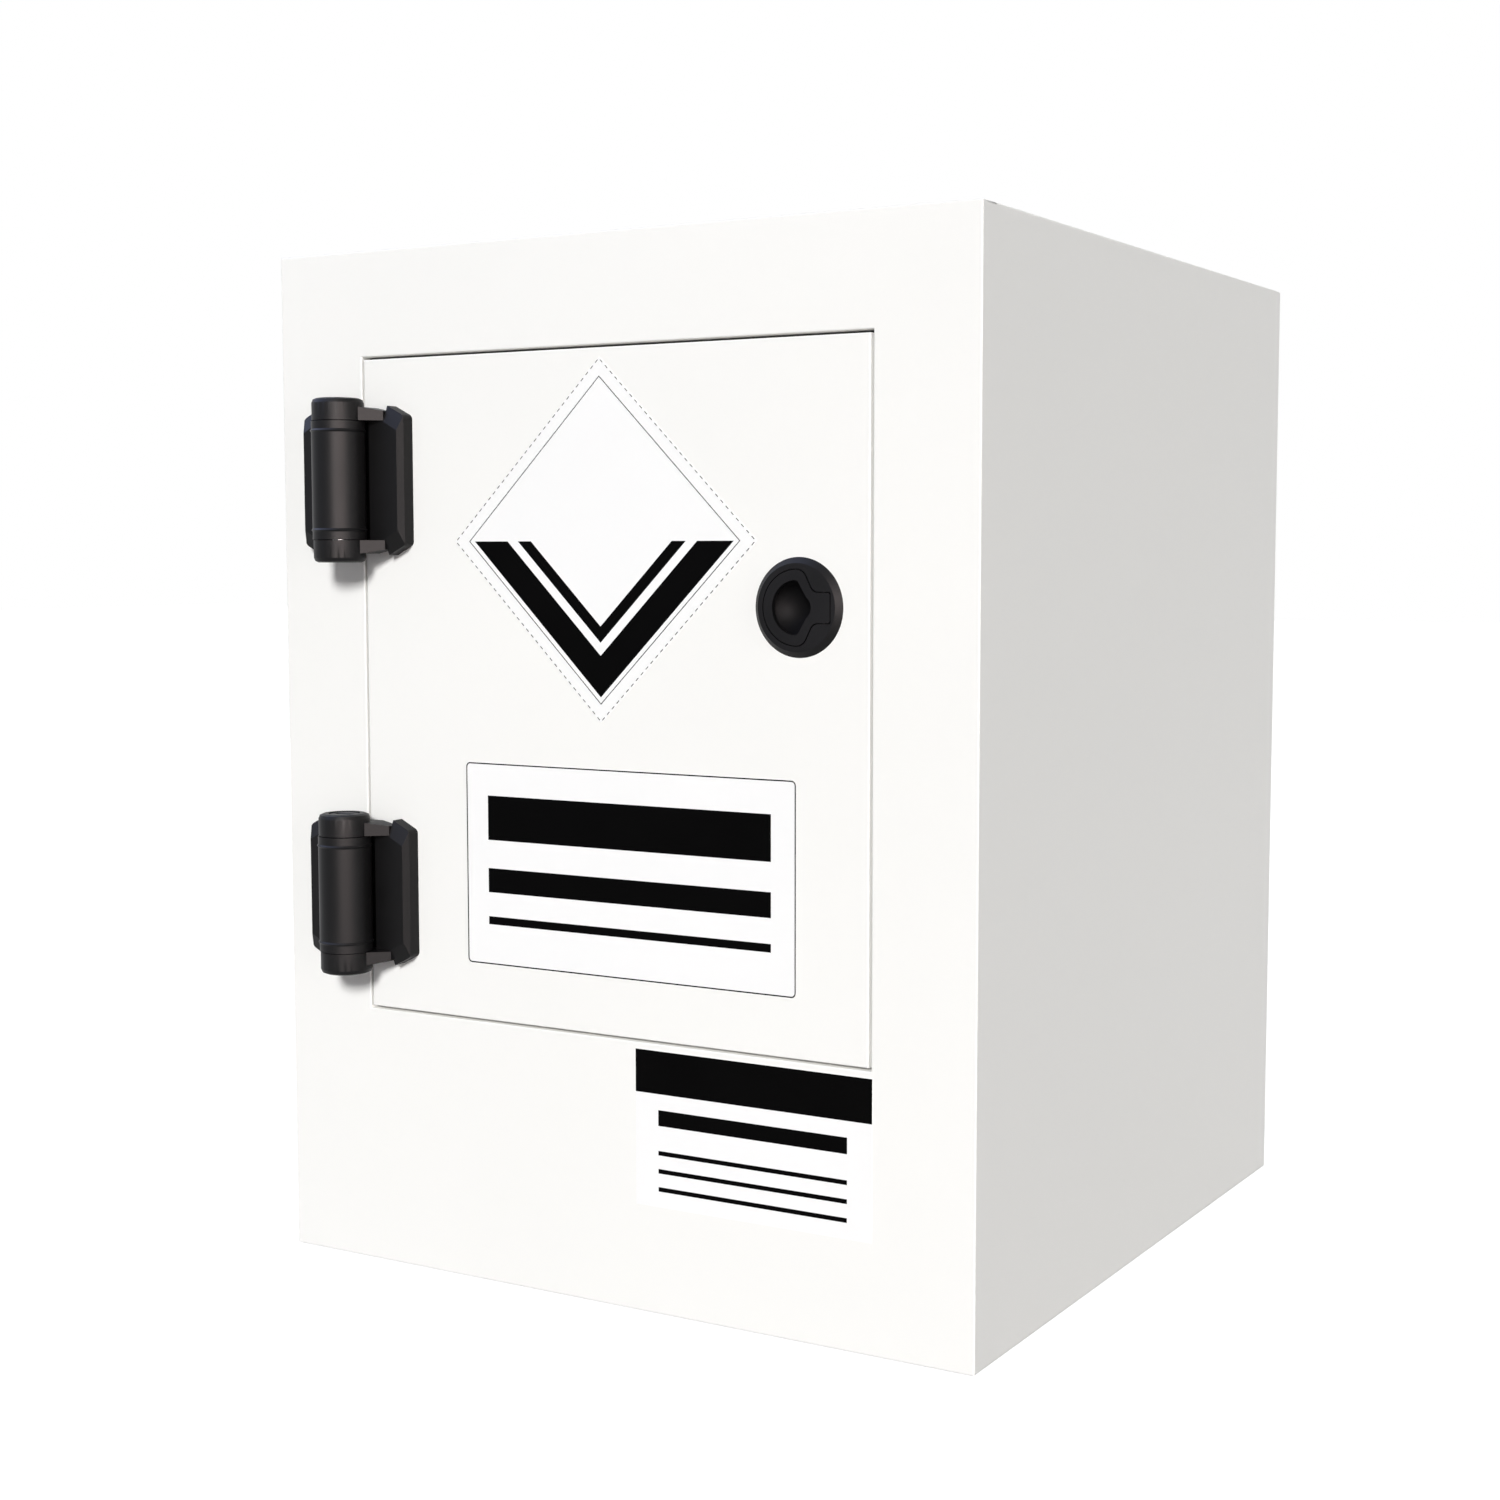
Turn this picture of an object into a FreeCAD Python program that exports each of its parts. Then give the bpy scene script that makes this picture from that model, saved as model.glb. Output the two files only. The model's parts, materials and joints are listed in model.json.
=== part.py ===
"""Bench-top polypropylene safety cabinet with one door, two spring hinges and a flush pull latch.

Frame: millimetres, +Z up, the front looks along -Y, the origin is the centre of the base's
underside. Every driving size is a cell of the sheet SIZES; every place in PLACES is worked
out from those cells, and each piece is bound to them by expressions.
"""
import FreeCAD, Part
import math
import os
import re

import Sketcher

SIZES = (
    # the welded box of plastic sheet
    ("cabinet_wide", 430.0),
    ("cabinet_deep", 440.0),
    ("cabinet_tall", 560.0),
    ("wall", 10.0),
    ("edge_round", 0.8),
    # the opening in the front and the door that fills it
    ("stile", 57.0),
    ("top_rail", 57.0),
    ("bottom_rail", 143.0),
    ("door_gap", 1.5),
    ("door_thick", 12.0),
    ("stop_thick", 10.0),
    ("stop_lip", 10.0),
    ("stop_wide", 22.0),
    ("seal_thick", 2.7),
    ("seal_wide", 9.0),
    ("seal_clear", 0.3),
    # the lift-out shelf and the sump's floor grilles
    ("shelf_level", 318.0),
    ("shelf_thick", 8.0),
    ("shelf_setback", 38.0),
    ("shelf_play", 1.0),
    ("rest_wide", 12.0),
    ("rest_tall", 12.0),
    ("grille_level", 62.0),
    ("grille_thick", 6.0),
    ("drain_long", 52.0),
    ("drain_wide", 10.0),
    ("drain_pitch_x", 66.0),
    ("drain_pitch_y", 54.0),
    ("middle_rest_wide", 24.0),
    # the hinges
    ("hinge_inset", 66.0),
    ("hinge_standoff", 20.0),
    ("barrel_radius", 14.4),
    ("barrel_half", 31.7),
    ("barrel_bore", 10.0),
    ("band_inset", 5.1),
    ("band_proud", 0.6),
    ("band_half", 0.9),
    ("knuckle_radius", 14.0),
    ("knuckle_tall", 12.0),
    ("knuckle_round", 2.6),
    ("knuckle_gap", 0.4),
    ("leaf_reach", 34.9),
    ("leaf_start", 2.0),
    ("leaf_nip", 0.5),
    ("leaf_base", 4.0),
    ("leaf_wall", 7.5),
    ("leaf_thick", 11.0),
    ("leaf_block_start", 13.6),
    ("leaf_pad_start", 23.8),
    ("leaf_pad_inset", 2.2),
    ("leaf_rise", 0.9),
    ("leaf_taper", 5.6),
    ("leaf_slope_near", 8.8),
    ("leaf_slope_far", 8.0),
    ("leaf_corner_round", 3.0),
    ("arm_tall", 7.2),
    ("arm_drop", 2.1),
    ("hinge_pin_radius", 4.0),
    ("running_clear", 0.05),
    ("bush_long", 7.0),
    ("coil_radius", 7.4),
    ("coil_wire", 2.0),
    ("coil_turns", 4.0),
    ("adjuster_radius", 8.4),
    ("adjuster_thick", 2.6),
    ("adjuster_key", 2.6),
    ("leaf_screw_radius", 2.5),
    ("leaf_screw_head", 4.6),
    ("leaf_screw_head_thick", 3.0),
    ("leaf_screw_bite", 5.5),
    ("leaf_screw_spread", 40.0),
    ("leaf_screw_reach", 27.6),
    ("hole_clear", 0.3),
    # the latch
    ("latch_inset", 40.8),
    ("latch_rise", 46.8),
    ("bezel_radius", 24.8),
    ("bezel_face_radius", 21.8),
    ("bezel_proud", 3.0),
    ("housing_radius", 22.0),
    ("lever_radius", 18.6),
    ("lever_thick", 2.8),
    ("lever_neck_x", 9.2),
    ("lever_shoulder_x", 3.8),
    ("lever_tab_half", 7.4),
    ("lever_tab_end", 18.8),
    ("lever_groove", 0.5),
    ("lever_shoulder_round", 6.0),
    ("lever_neck_round", 4.4),
    ("lever_tab_round", 1.1),
    ("pivot_x", 14.6),
    ("pivot_sink", 1.9),
    ("lever_pin_radius", 0.8),
    ("lever_pin_half", 11.0),
    ("tail_long", 22.0),
    ("tail_half_wide", 1.5),
    ("tail_half_tall", 2.5),
    ("tail_swing_share", 0.58),
    ("hole_top_x", 0.5),
    ("hole_top_z", 13.6),
    ("hole_knee_x", 5.7),
    ("hole_knee_z", 5.0),
    ("hole_bulge_x", 2.1),
    ("hole_round", 2.4),
    ("cup_centre_x", 4.6),
    ("cup_rim", 13.4),
    ("cup_deep", 9.5),
    ("bolt_thick", 6.0),
    ("bolt_half_tall", 5.0),
    ("bolt_short", 3.5),
    ("bolt_long", 19.0),
    ("bolt_bevel", 3.2),
    ("bolt_stub_radius", 1.6),
    ("bolt_stub_long", 3.4),
    ("bolt_clear", 0.3),
    ("channel_back", 19.6),
    ("ring_radius", 25.4),
    ("ring_notch", 2.2),
    ("cover_radius", 21.0),
    ("cover_thick", 2.0),
    ("bolt_coil_radius", 2.7),
    ("bolt_coil_wire", 0.8),
    ("bolt_coil_turns", 4.0),
    ("strike_thick", 1.5),
    ("strike_half_tall", 20.0),
    ("strike_mouth_deep", 8.0),
    # how far a cut runs past the solid it cuts
    ("overrun", 5.0),
)

PLACES = {
    "half_wide": "(cabinet_wide / 2)",
    "front_face": "(-cabinet_deep / 2)",
    "back_face": "(cabinet_deep / 2)",
    "front_thick": "(door_thick + seal_thick + seal_clear)",
    "front_back": "(front_face + front_thick)",
    "stop_back": "(front_back + stop_thick)",
    "inner_wide": "(half_wide - wall)",
    "inner_back": "(back_face - wall)",
    "opening_half": "(half_wide - stile)",
    "opening_top": "(cabinet_tall - top_rail)",
    "opening_middle": "((opening_top + bottom_rail) / 2)",
    "door_half": "(opening_half - door_gap)",
    "throat_half": "(opening_half - stop_lip)",
    "stop_spread": "(stop_wide - stop_lip)",
    "throat_low": "(bottom_rail + stop_lip)",
    "throat_high": "(opening_top - stop_lip)",
    "seal_half": "(opening_half - seal_clear)",
    "seal_low": "(bottom_rail + seal_clear)",
    "seal_high": "(opening_top - seal_clear)",
    "shelf_front": "(stop_back + shelf_setback)",
    "hinge_x": "(-opening_half)",
    "hinge_y": "(front_face - hinge_standoff)",
    "hinge_high": "(opening_top - door_gap - hinge_inset)",
    "hinge_low": "(bottom_rail + door_gap + hinge_inset)",
    "band_level": "(barrel_half - band_inset)",
    "knuckle_low": "(barrel_half + knuckle_gap)",
    "knuckle_high": "(knuckle_low + knuckle_tall)",
    "pin_top": "(knuckle_high - adjuster_thick - hole_clear - knuckle_gap)",
    "pin_hole": "(hinge_pin_radius + running_clear)",
    "leaf_back": "(hinge_standoff - leaf_base)",
    "leaf_shoulder": "(hinge_standoff - leaf_wall)",
    "leaf_face": "(hinge_standoff - leaf_thick)",
    "arm_high": "(knuckle_low + arm_tall)",
    "leaf_half_slab": "(arm_high - arm_drop)",
    "leaf_half_near": "(arm_high + leaf_rise)",
    "leaf_half_far": "(leaf_half_near - leaf_taper)",
    "leaf_face_near": "(leaf_half_near - leaf_slope_near)",
    "leaf_face_far": "(leaf_half_far - leaf_slope_far)",
    "latch_x": "(opening_half - latch_inset)",
    "latch_z": "(opening_middle + latch_rise)",
    "lever_back": "(lever_thick - bezel_proud)",
    "pocket_floor": "(lever_back + hole_clear)",
    "cup_sphere": "((cup_rim ^ 2 + cup_deep ^ 2) / (2 * cup_deep))",
    "pivot_y": "(pivot_sink - bezel_proud)",
    "lever_pin_hole": "(lever_pin_radius + running_clear)",
    "ring_thick": "(seal_thick)",
    "bolt_front": "(door_thick + ring_thick + 2 * bolt_clear)",
    "bolt_back": "(bolt_front + bolt_thick)",
    "bolt_middle": "((bolt_front + bolt_back) / 2)",
    "housing_back": "(bolt_back + bolt_clear)",
    "strike_mouth_half": "(bolt_half_tall + 2 * hole_clear)",
    "bolt_tip": "(throat_half - bolt_short - latch_x)",
    "bolt_tail": "(bolt_tip - bolt_long)",
    "swing_left": "((bolt_front - pivot_y) * tail_swing_share + tail_half_wide * 2)",
}

doc = FreeCAD.newDocument("safety_cabinet")
sheet = doc.addObject("Spreadsheet::Sheet", "Sizes")
for row, (alias, value) in enumerate(SIZES, 1):
    sheet.set(f"A{row}", alias)
    sheet.set(f"B{row}", str(value))
    sheet.setAlias(f"B{row}", alias)
doc.recompute()
ALIASES = {alias for alias, _ in SIZES}
# how near a point must lie to a place to count as being there
slack = 0.001
pieces = []


def cell(text):
    """An expression with each place written out and each size pointed at its cell."""
    def write_out(match):
        word = match.group(0)
        if word in PLACES:
            return cell(PLACES[word])
        return f"Sizes.{word}" if word in ALIASES else word
    return re.sub(r"[a-z][a-z_]*", write_out, text)


def number(text):
    """What an expression comes to, as a plain number."""
    return float(sheet.evalExpression(cell(text)))


def bind(thing, **values):
    """Ties properties to expressions; two underlines stand for the dot of a property's part."""
    for name, text in values.items():
        thing.setExpression(name.replace("__", "."), cell(text))


def place(thing, x="0", y="0", z="0"):
    """Puts a piece's own origin at a place in the cabinet's frame."""
    bind(thing, Placement__Base__x=x, Placement__Base__y=y, Placement__Base__z=z)


def keep(thing, label):
    """Names a finished piece and lists it for writing."""
    thing.Label = label
    pieces.append(thing)
    return thing


def new_body(name, x="0", y="0", z="0"):
    """An empty body whose own origin stands at the given place."""
    body = doc.addObject("PartDesign::Body", name)
    place(body, x, y, z)
    return body


def origin_part(body, role):
    """One of the body's own planes or axes."""
    return next(part for part in body.Origin.OriginFeatures if part.Role == role)


def pin_down(sketch, line, end, x, y):
    """Holds one end of a line, or a centre, at a place given by two expressions."""
    for kind, text in (("DistanceX", x), ("DistanceY", y)):
        rule = sketch.addConstraint(Sketcher.Constraint(kind, -1, 1, line, end, number(text)))
        sketch.setExpression(f"Constraints[{rule}]", cell(text))


def draw_outline(sketch, points):
    """A closed outline of straight edges through the points, each held at its place.

    A point with a third value starts an arc that ends at the next point and bows away from
    a centre at that x, level with the middle of its two ends, on the sketch's own x axis.
    """
    first = sketch.GeometryCount
    spots = [FreeCAD.Vector(number(point[0]), number(point[1]), 0) for point in points]
    ends = []
    for index, point in enumerate(points):
        start, end = spots[index], spots[(index + 1) % len(spots)]
        if len(point) == 2:
            sketch.addGeometry(Part.LineSegment(start, end), False)
            ends.append((1, 2))
            continue
        centre = FreeCAD.Vector(number(point[2]), 0, 0)
        radius = (start - centre).Length
        side = 1 if start.y < 0 else -1
        bow = centre + FreeCAD.Vector(side * radius, 0, 0)
        arc = Part.Arc(start, bow, end)
        sketch.addGeometry(arc, False)
        drawn = sketch.Geometry[first + index]
        forward = (drawn.StartPoint - start).Length < (drawn.EndPoint - start).Length
        ends.append((1, 2) if forward else (2, 1))
    for index, point in enumerate(points):
        after = (index + 1) % len(points)
        meeting = (first + index, ends[index][1], first + after, ends[after][0])
        sketch.addConstraint(Sketcher.Constraint("Coincident", *meeting))
        pin_down(sketch, first + index, ends[index][0], point[0], point[1])
        if len(point) == 3:
            middle = number(point[2])
            rule = sketch.addConstraint(Sketcher.Constraint("DistanceX", -1, 1, first + index, 3, middle))
            sketch.setExpression(f"Constraints[{rule}]", cell(point[2]))


def draw_circle(sketch, x, y, radius):
    """A circle held at its centre and by its radius."""
    middle = FreeCAD.Vector(number(x), number(y), 0)
    line = sketch.addGeometry(Part.Circle(middle, FreeCAD.Vector(0, 0, 1), number(radius)), False)
    pin_down(sketch, line, 3, x, y)
    rule = sketch.addConstraint(Sketcher.Constraint("Radius", line, number(radius)))
    sketch.setExpression(f"Constraints[{rule}]", cell(radius))


def new_sketch(body, name, role, away, outlines=(), circles=()):
    """A sketch on one of the body's own planes, moved along that plane's normal."""
    sketch = body.newObject("Sketcher::SketchObject", name)
    sketch.AttachmentSupport = (origin_part(body, role), [""])
    sketch.MapMode = "FlatFace"
    bind(sketch, AttachmentOffset__Base__z=away)
    for outline in outlines:
        draw_outline(sketch, outline)
    for circle in circles:
        draw_circle(sketch, *circle)
    return sketch


def rectangle(x_low, x_high, y_low, y_high):
    """The four corners of a rectangle, as expressions."""
    return [(x_low, y_low), (x_high, y_low), (x_high, y_high), (x_low, y_high)]


def mirrored_outline(upper):
    """An outline given above the sketch's x axis, closed by the same points below it."""
    lower = [(x, f"-({y})") for x, y in reversed(upper)]
    return upper + lower


def raise_pad(body, sketch, length, middle=False):
    """A pad along the sketch's normal, or both ways from it."""
    pad = body.newObject("PartDesign::Pad", sketch.Name + "_pad")
    pad.Profile = sketch
    pad.Midplane = middle
    bind(pad, Length=length)
    doc.recompute()
    return pad


def sink(body, sketch, depth, along=False, middle=False):
    """A pocket against the sketch's normal, or along it; it must take something away."""
    before = body.Tip.Shape.Volume
    pocket = body.newObject("PartDesign::Pocket", sketch.Name + "_cut")
    pocket.Profile = sketch
    pocket.Reversed = along
    pocket.Midplane = middle
    bind(pocket, Length=depth)
    doc.recompute()
    if pocket.Shape.Volume >= before:
        raise RuntimeError(f"{pocket.Name} of {body.Name} cuts nothing")
    return pocket


def turn(body, sketch, axis):
    """A full revolution of a sketch about one of its own axes."""
    revolution = body.newObject("PartDesign::Revolution", sketch.Name + "_turn")
    revolution.Profile = sketch
    revolution.ReferenceAxis = (sketch, [axis])
    revolution.Angle = 360
    doc.recompute()
    return revolution


def loft(body, lower, upper):
    """A solid that runs straight from one sketch to another."""
    made = body.newObject("PartDesign::AdditiveLoft", upper.Name + "_loft")
    made.Profile = lower
    made.Sections = [upper]
    made.Ruled = True
    doc.recompute()
    return made


def mirror_features(body, features, role):
    """The same features again on the other side of one of the body's planes."""
    copy = body.newObject("PartDesign::Mirrored", body.Name + "_mirror")
    copy.Originals = features
    copy.MirrorPlane = (origin_part(body, role), [""])
    body.Tip = copy
    doc.recompute()
    return copy


def repeat_features(body, name, features, role, length, count):
    """Equal copies of features along one of the body's axes, over a given length."""
    copy = body.newObject("PartDesign::LinearPattern", name)
    copy.Originals = features
    copy.Direction = (origin_part(body, role), [""])
    copy.Occurrences = count
    bind(copy, Length=length)
    body.Tip = copy
    doc.recompute()
    return copy


def round_edges(body, radius, wanted):
    """Rounds each edge of the body's last feature for which the test holds."""
    base = body.Tip
    names = [f"Edge{index}" for index, edge in enumerate(base.Shape.Edges, 1) if wanted(edge)]
    if not names:
        raise RuntimeError(f"no edge of {body.Name} to round")
    fillet = body.newObject("PartDesign::Fillet", f"{body.Name}_round_{len(body.Group)}")
    fillet.Base = (base, names)
    bind(fillet, Radius=radius)
    doc.recompute()
    return fillet


def flat_at(edge, axis, level):
    """Whether a whole edge lies at one level along an axis of the body."""
    low = getattr(edge.BoundBox, axis.upper() + "Min")
    high = getattr(edge.BoundBox, axis.upper() + "Max")
    return abs(low - level) < slack and abs(high - level) < slack


def runs_along_y(edge):
    """Whether an edge is straight and square to the front."""
    if len(edge.Vertexes) != 2 or not isinstance(edge.Curve, Part.Line):
        return False
    run = edge.Vertexes[1].Point - edge.Vertexes[0].Point
    return abs(run.x) < slack and abs(run.z) < slack


def stands_at(edge, x, z):
    """Whether an edge square to the front stands at a place, or at its mirror place below."""
    spot = edge.Vertexes[0].Point
    return runs_along_y(edge) and abs(spot.x - x) < slack and abs(abs(spot.z) - z) < slack


def nearest_upright(edges, x, z):
    """The edge square to the front that stands nearest to a place."""
    upright = [edge for edge in edges if runs_along_y(edge)]
    return min(upright, key=lambda edge: (edge.Vertexes[0].X - x) ** 2 + (edge.Vertexes[0].Z - z) ** 2)


def sheet_panel(label, x, y, z):
    """A flat piece of sheet between two places on each axis."""
    panel = doc.addObject("Part::Box", label)
    for side, axis, (low, high) in zip(("Length", "Width", "Height"), "xyz", (x, y, z)):
        bind(panel, **{side: f"{high} - ({low})", f"Placement__Base__{axis}": low})
    return keep(panel, label)


def build_box():
    """The four walls, the back and the base, butted and welded behind the front."""
    sides = ("front_back", "back_face")
    between = ("-inner_wide", "inner_wide")
    sheet_panel("left_side_panel", ("-half_wide", "-inner_wide"), sides, ("0", "cabinet_tall"))
    sheet_panel("right_side_panel", ("inner_wide", "half_wide"), sides, ("0", "cabinet_tall"))
    sheet_panel("back_panel", between, ("inner_back", "back_face"), ("0", "cabinet_tall"))
    reach = ("front_back", "inner_back")
    sheet_panel("base_panel", between, reach, ("0", "wall"))
    sheet_panel("top_panel", between, reach, ("cabinet_tall - wall", "cabinet_tall"))


def build_front():
    """The front sheet with its opening; its outer and opening edges are eased."""
    body = new_body("front_frame")
    outside = rectangle("-half_wide", "half_wide", "0", "cabinet_tall")
    opening = rectangle("-opening_half", "opening_half", "bottom_rail", "opening_top")
    outline = new_sketch(body, "front_outline", "XZ_Plane", "-(front_back)", (outside, opening))
    raise_pad(body, outline, "front_thick")
    front = number("front_face")
    round_edges(body, "edge_round", lambda edge: flat_at(edge, "y", front))
    keep(body, "front_frame")


def build_stop():
    """The inner frame that the door closes against, and the rubber seal on it."""
    body = new_body("door_stop_frame")
    outside = rectangle(
        "-(opening_half + stop_spread)",
        "opening_half + stop_spread",
        "bottom_rail - stop_spread",
        "opening_top + stop_spread",
    )
    throat = rectangle("-throat_half", "throat_half", "throat_low", "throat_high")
    ring = new_sketch(body, "stop_outline", "XZ_Plane", "-(stop_back)", (outside, throat))
    raise_pad(body, ring, "stop_thick")
    recess = rectangle(
        "throat_half - overrun",
        "throat_half + strike_thick",
        "latch_z - strike_half_tall",
        "latch_z + strike_half_tall",
    )
    sink(body, new_sketch(body, "strike_recess", "XZ_Plane", "-(front_back)", (recess,)), "stop_thick")
    mouth = rectangle(
        "throat_half - overrun",
        "throat_half + strike_mouth_deep",
        "latch_z - strike_mouth_half",
        "latch_z + strike_mouth_half",
    )
    mouth_front = "-(front_face + bolt_front - hole_clear)"
    opened = new_sketch(body, "strike_mouth", "XZ_Plane", mouth_front, (mouth,))
    sink(body, opened, "bolt_thick + 2 * hole_clear")
    keep(body, "door_stop_frame")

    seal = new_body("door_seal")
    outer = rectangle("-seal_half", "seal_half", "seal_low", "seal_high")
    inner = rectangle(
        "seal_wide - seal_half",
        "seal_half - seal_wide",
        "seal_low + seal_wide",
        "seal_high - seal_wide",
    )
    strip = new_sketch(seal, "seal_outline", "XZ_Plane", "-(front_back)", (outer, inner))
    raise_pad(seal, strip, "seal_thick")
    keep(seal, "door_seal")


def build_strike():
    """The steel plate let into the stop's edge, which the bolt springs into."""
    body = new_body("strike_plate", "throat_half", "0", "latch_z")
    outline = rectangle("front_back", "stop_back", "-strike_half_tall", "strike_half_tall")
    raise_pad(body, new_sketch(body, "strike_outline", "YZ_Plane", "0", (outline,)), "strike_thick")
    mouth = rectangle(
        "front_face + bolt_front - hole_clear",
        "front_face + bolt_back + hole_clear",
        "-strike_mouth_half",
        "strike_mouth_half",
    )
    sink(body, new_sketch(body, "strike_slot", "YZ_Plane", "0", (mouth,)), "strike_thick", along=True)
    keep(body, "strike_plate")


def build_door():
    """The solid sheet door, cut for the latch and drilled for the hinge leaves."""
    body = new_body("door_panel")
    outline = rectangle("-door_half", "door_half", "bottom_rail + door_gap", "opening_top - door_gap")
    slab = new_sketch(body, "door_outline", "XZ_Plane", "-(front_face + door_thick)", (outline,))
    raise_pad(body, slab, "door_thick")
    front = number("front_face")
    round_edges(body, "edge_round", lambda edge: flat_at(edge, "y", front))
    holes = [("latch_x", "latch_z", "housing_radius + hole_clear")]
    for level in ("hinge_high", "hinge_low"):
        for side in ("+", "-"):
            z = f"{level} {side} leaf_screw_spread / 2"
            holes.append(("hinge_x + leaf_screw_reach", z, "leaf_screw_radius + hole_clear"))
    drilled = new_sketch(body, "door_holes", "XZ_Plane", "-(front_face)", (), holes)
    sink(body, drilled, "door_thick + overrun")
    keep(body, "door_panel")


def slotted_plate(label, x, y, level, thick, columns, rows):
    """A flat plate cut with an even field of drain slots, centred on it."""
    body = new_body(label)
    outline = rectangle(x[0], x[1], y[0], y[1])
    raise_pad(body, new_sketch(body, f"{label}_outline", "XY_Plane", level, (outline,)), thick)
    slot_x = f"(({x[0]}) + ({x[1]}) - {columns - 1} * drain_pitch_x - drain_long) / 2"
    slot_y = f"(({y[0]}) + ({y[1]}) - {rows - 1} * drain_pitch_y - drain_wide) / 2"
    slot = rectangle(slot_x, f"{slot_x} + drain_long", slot_y, f"{slot_y} + drain_wide")
    drain = sink(body, new_sketch(body, f"{label}_slot", "XY_Plane", level, (slot,)), thick, along=True)
    field = body.newObject("PartDesign::MultiTransform", f"{label}_field")
    field.Originals = [drain]
    steps = []
    for role, count, pitch in (("X_Axis", columns, "drain_pitch_x"), ("Y_Axis", rows, "drain_pitch_y")):
        step = body.newObject("PartDesign::LinearPattern", f"{label}_along_{role[0].lower()}")
        step.Direction = (origin_part(body, role), [""])
        step.Occurrences = count
        bind(step, Length=f"{count - 1} * {pitch}")
        steps.append(step)
    field.Transformations = steps
    body.Tip = field
    doc.recompute()
    return keep(body, label)


def build_inside():
    """The shelf and the sump's floor grilles, which lift out, and the rests welded in for them."""
    whole = ("front_back", "inner_back")
    side_left = ("-inner_wide", "rest_wide - inner_wide")
    side_right = ("inner_wide - rest_wide", "inner_wide")
    shelf_under = ("shelf_level - rest_tall", "shelf_level")
    shelf_run = ("shelf_front", "inner_back")
    sheet_panel("shelf_rest_left", side_left, shelf_run, shelf_under)
    sheet_panel("shelf_rest_right", side_right, shelf_run, shelf_under)
    grille_under = ("grille_level - rest_tall", "grille_level")
    sheet_panel("grille_rest_left", side_left, whole, grille_under)
    sheet_panel("grille_rest_right", side_right, whole, grille_under)
    middle = ("-middle_rest_wide / 2", "middle_rest_wide / 2")
    sheet_panel("grille_rest_middle", middle, whole, grille_under)
    wide = ("shelf_play - inner_wide", "inner_wide - shelf_play")
    deep = ("shelf_front", "inner_back - shelf_play")
    slotted_plate("shelf", wide, deep, "shelf_level", "shelf_thick", 5, 6)
    deep = ("front_back + shelf_play", "inner_back - shelf_play")
    left = ("shelf_play - inner_wide", "-shelf_play / 2")
    right = ("shelf_play / 2", "inner_wide - shelf_play")
    slotted_plate("sump_grille_left", left, deep, "grille_level", "grille_thick", 2, 6)
    slotted_plate("sump_grille_right", right, deep, "grille_level", "grille_thick", 2, 6)


def leaf_strip(side, near, near_half, far, far_half):
    """An outline on one side of the pin, between two upright ends of their own heights."""
    return mirrored_outline([(f"{side}({near})", near_half), (f"{side}({far})", far_half)])


def add_leaf(body, side, start, block_start, block_half):
    """A leaf: a thin slab behind the pin, a block that carries it and a thick, chamfered plate."""
    def leaf_sketch(name, level, *ends):
        return new_sketch(body, f"{body.Name}_{name}", "XZ_Plane", f"-({level})", (leaf_strip(side, *ends),))

    slab = (start, "leaf_half_slab", "leaf_pad_start", "leaf_half_slab")
    raise_pad(body, leaf_sketch("slab", "hinge_standoff", *slab), "leaf_base")
    plate = ("leaf_pad_start", "leaf_half_near", "leaf_reach", "leaf_half_far")
    raise_pad(body, leaf_sketch("plate", "hinge_standoff", *plate), "leaf_wall")
    face = ("leaf_pad_start", "leaf_face_near", "leaf_reach - leaf_pad_inset", "leaf_face_far")
    loft(body, leaf_sketch("foot", "leaf_shoulder", *plate), leaf_sketch("face", "leaf_face", *face))
    far, half = number(f"{side}leaf_reach"), number("leaf_half_far")
    round_edges(body, "leaf_corner_round", lambda edge: stands_at(edge, far, half))
    block = (block_start, block_half, "leaf_pad_start", block_half)
    raise_pad(body, leaf_sketch("block", "hinge_standoff", *block), "leaf_thick")


def drill_leaf(body, side):
    """Two blind holes in the back of a leaf for its screws."""
    x = f"{side}leaf_screw_reach"
    radius = "leaf_screw_radius + running_clear"
    holes = [(x, f"{sign}leaf_screw_spread / 2", radius) for sign in ("", "-")]
    sketch = new_sketch(body, f"{body.Name}_bites", "XZ_Plane", "-(hinge_standoff)", (), holes)
    sink(body, sketch, "leaf_screw_bite + hole_clear", along=True)


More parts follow.
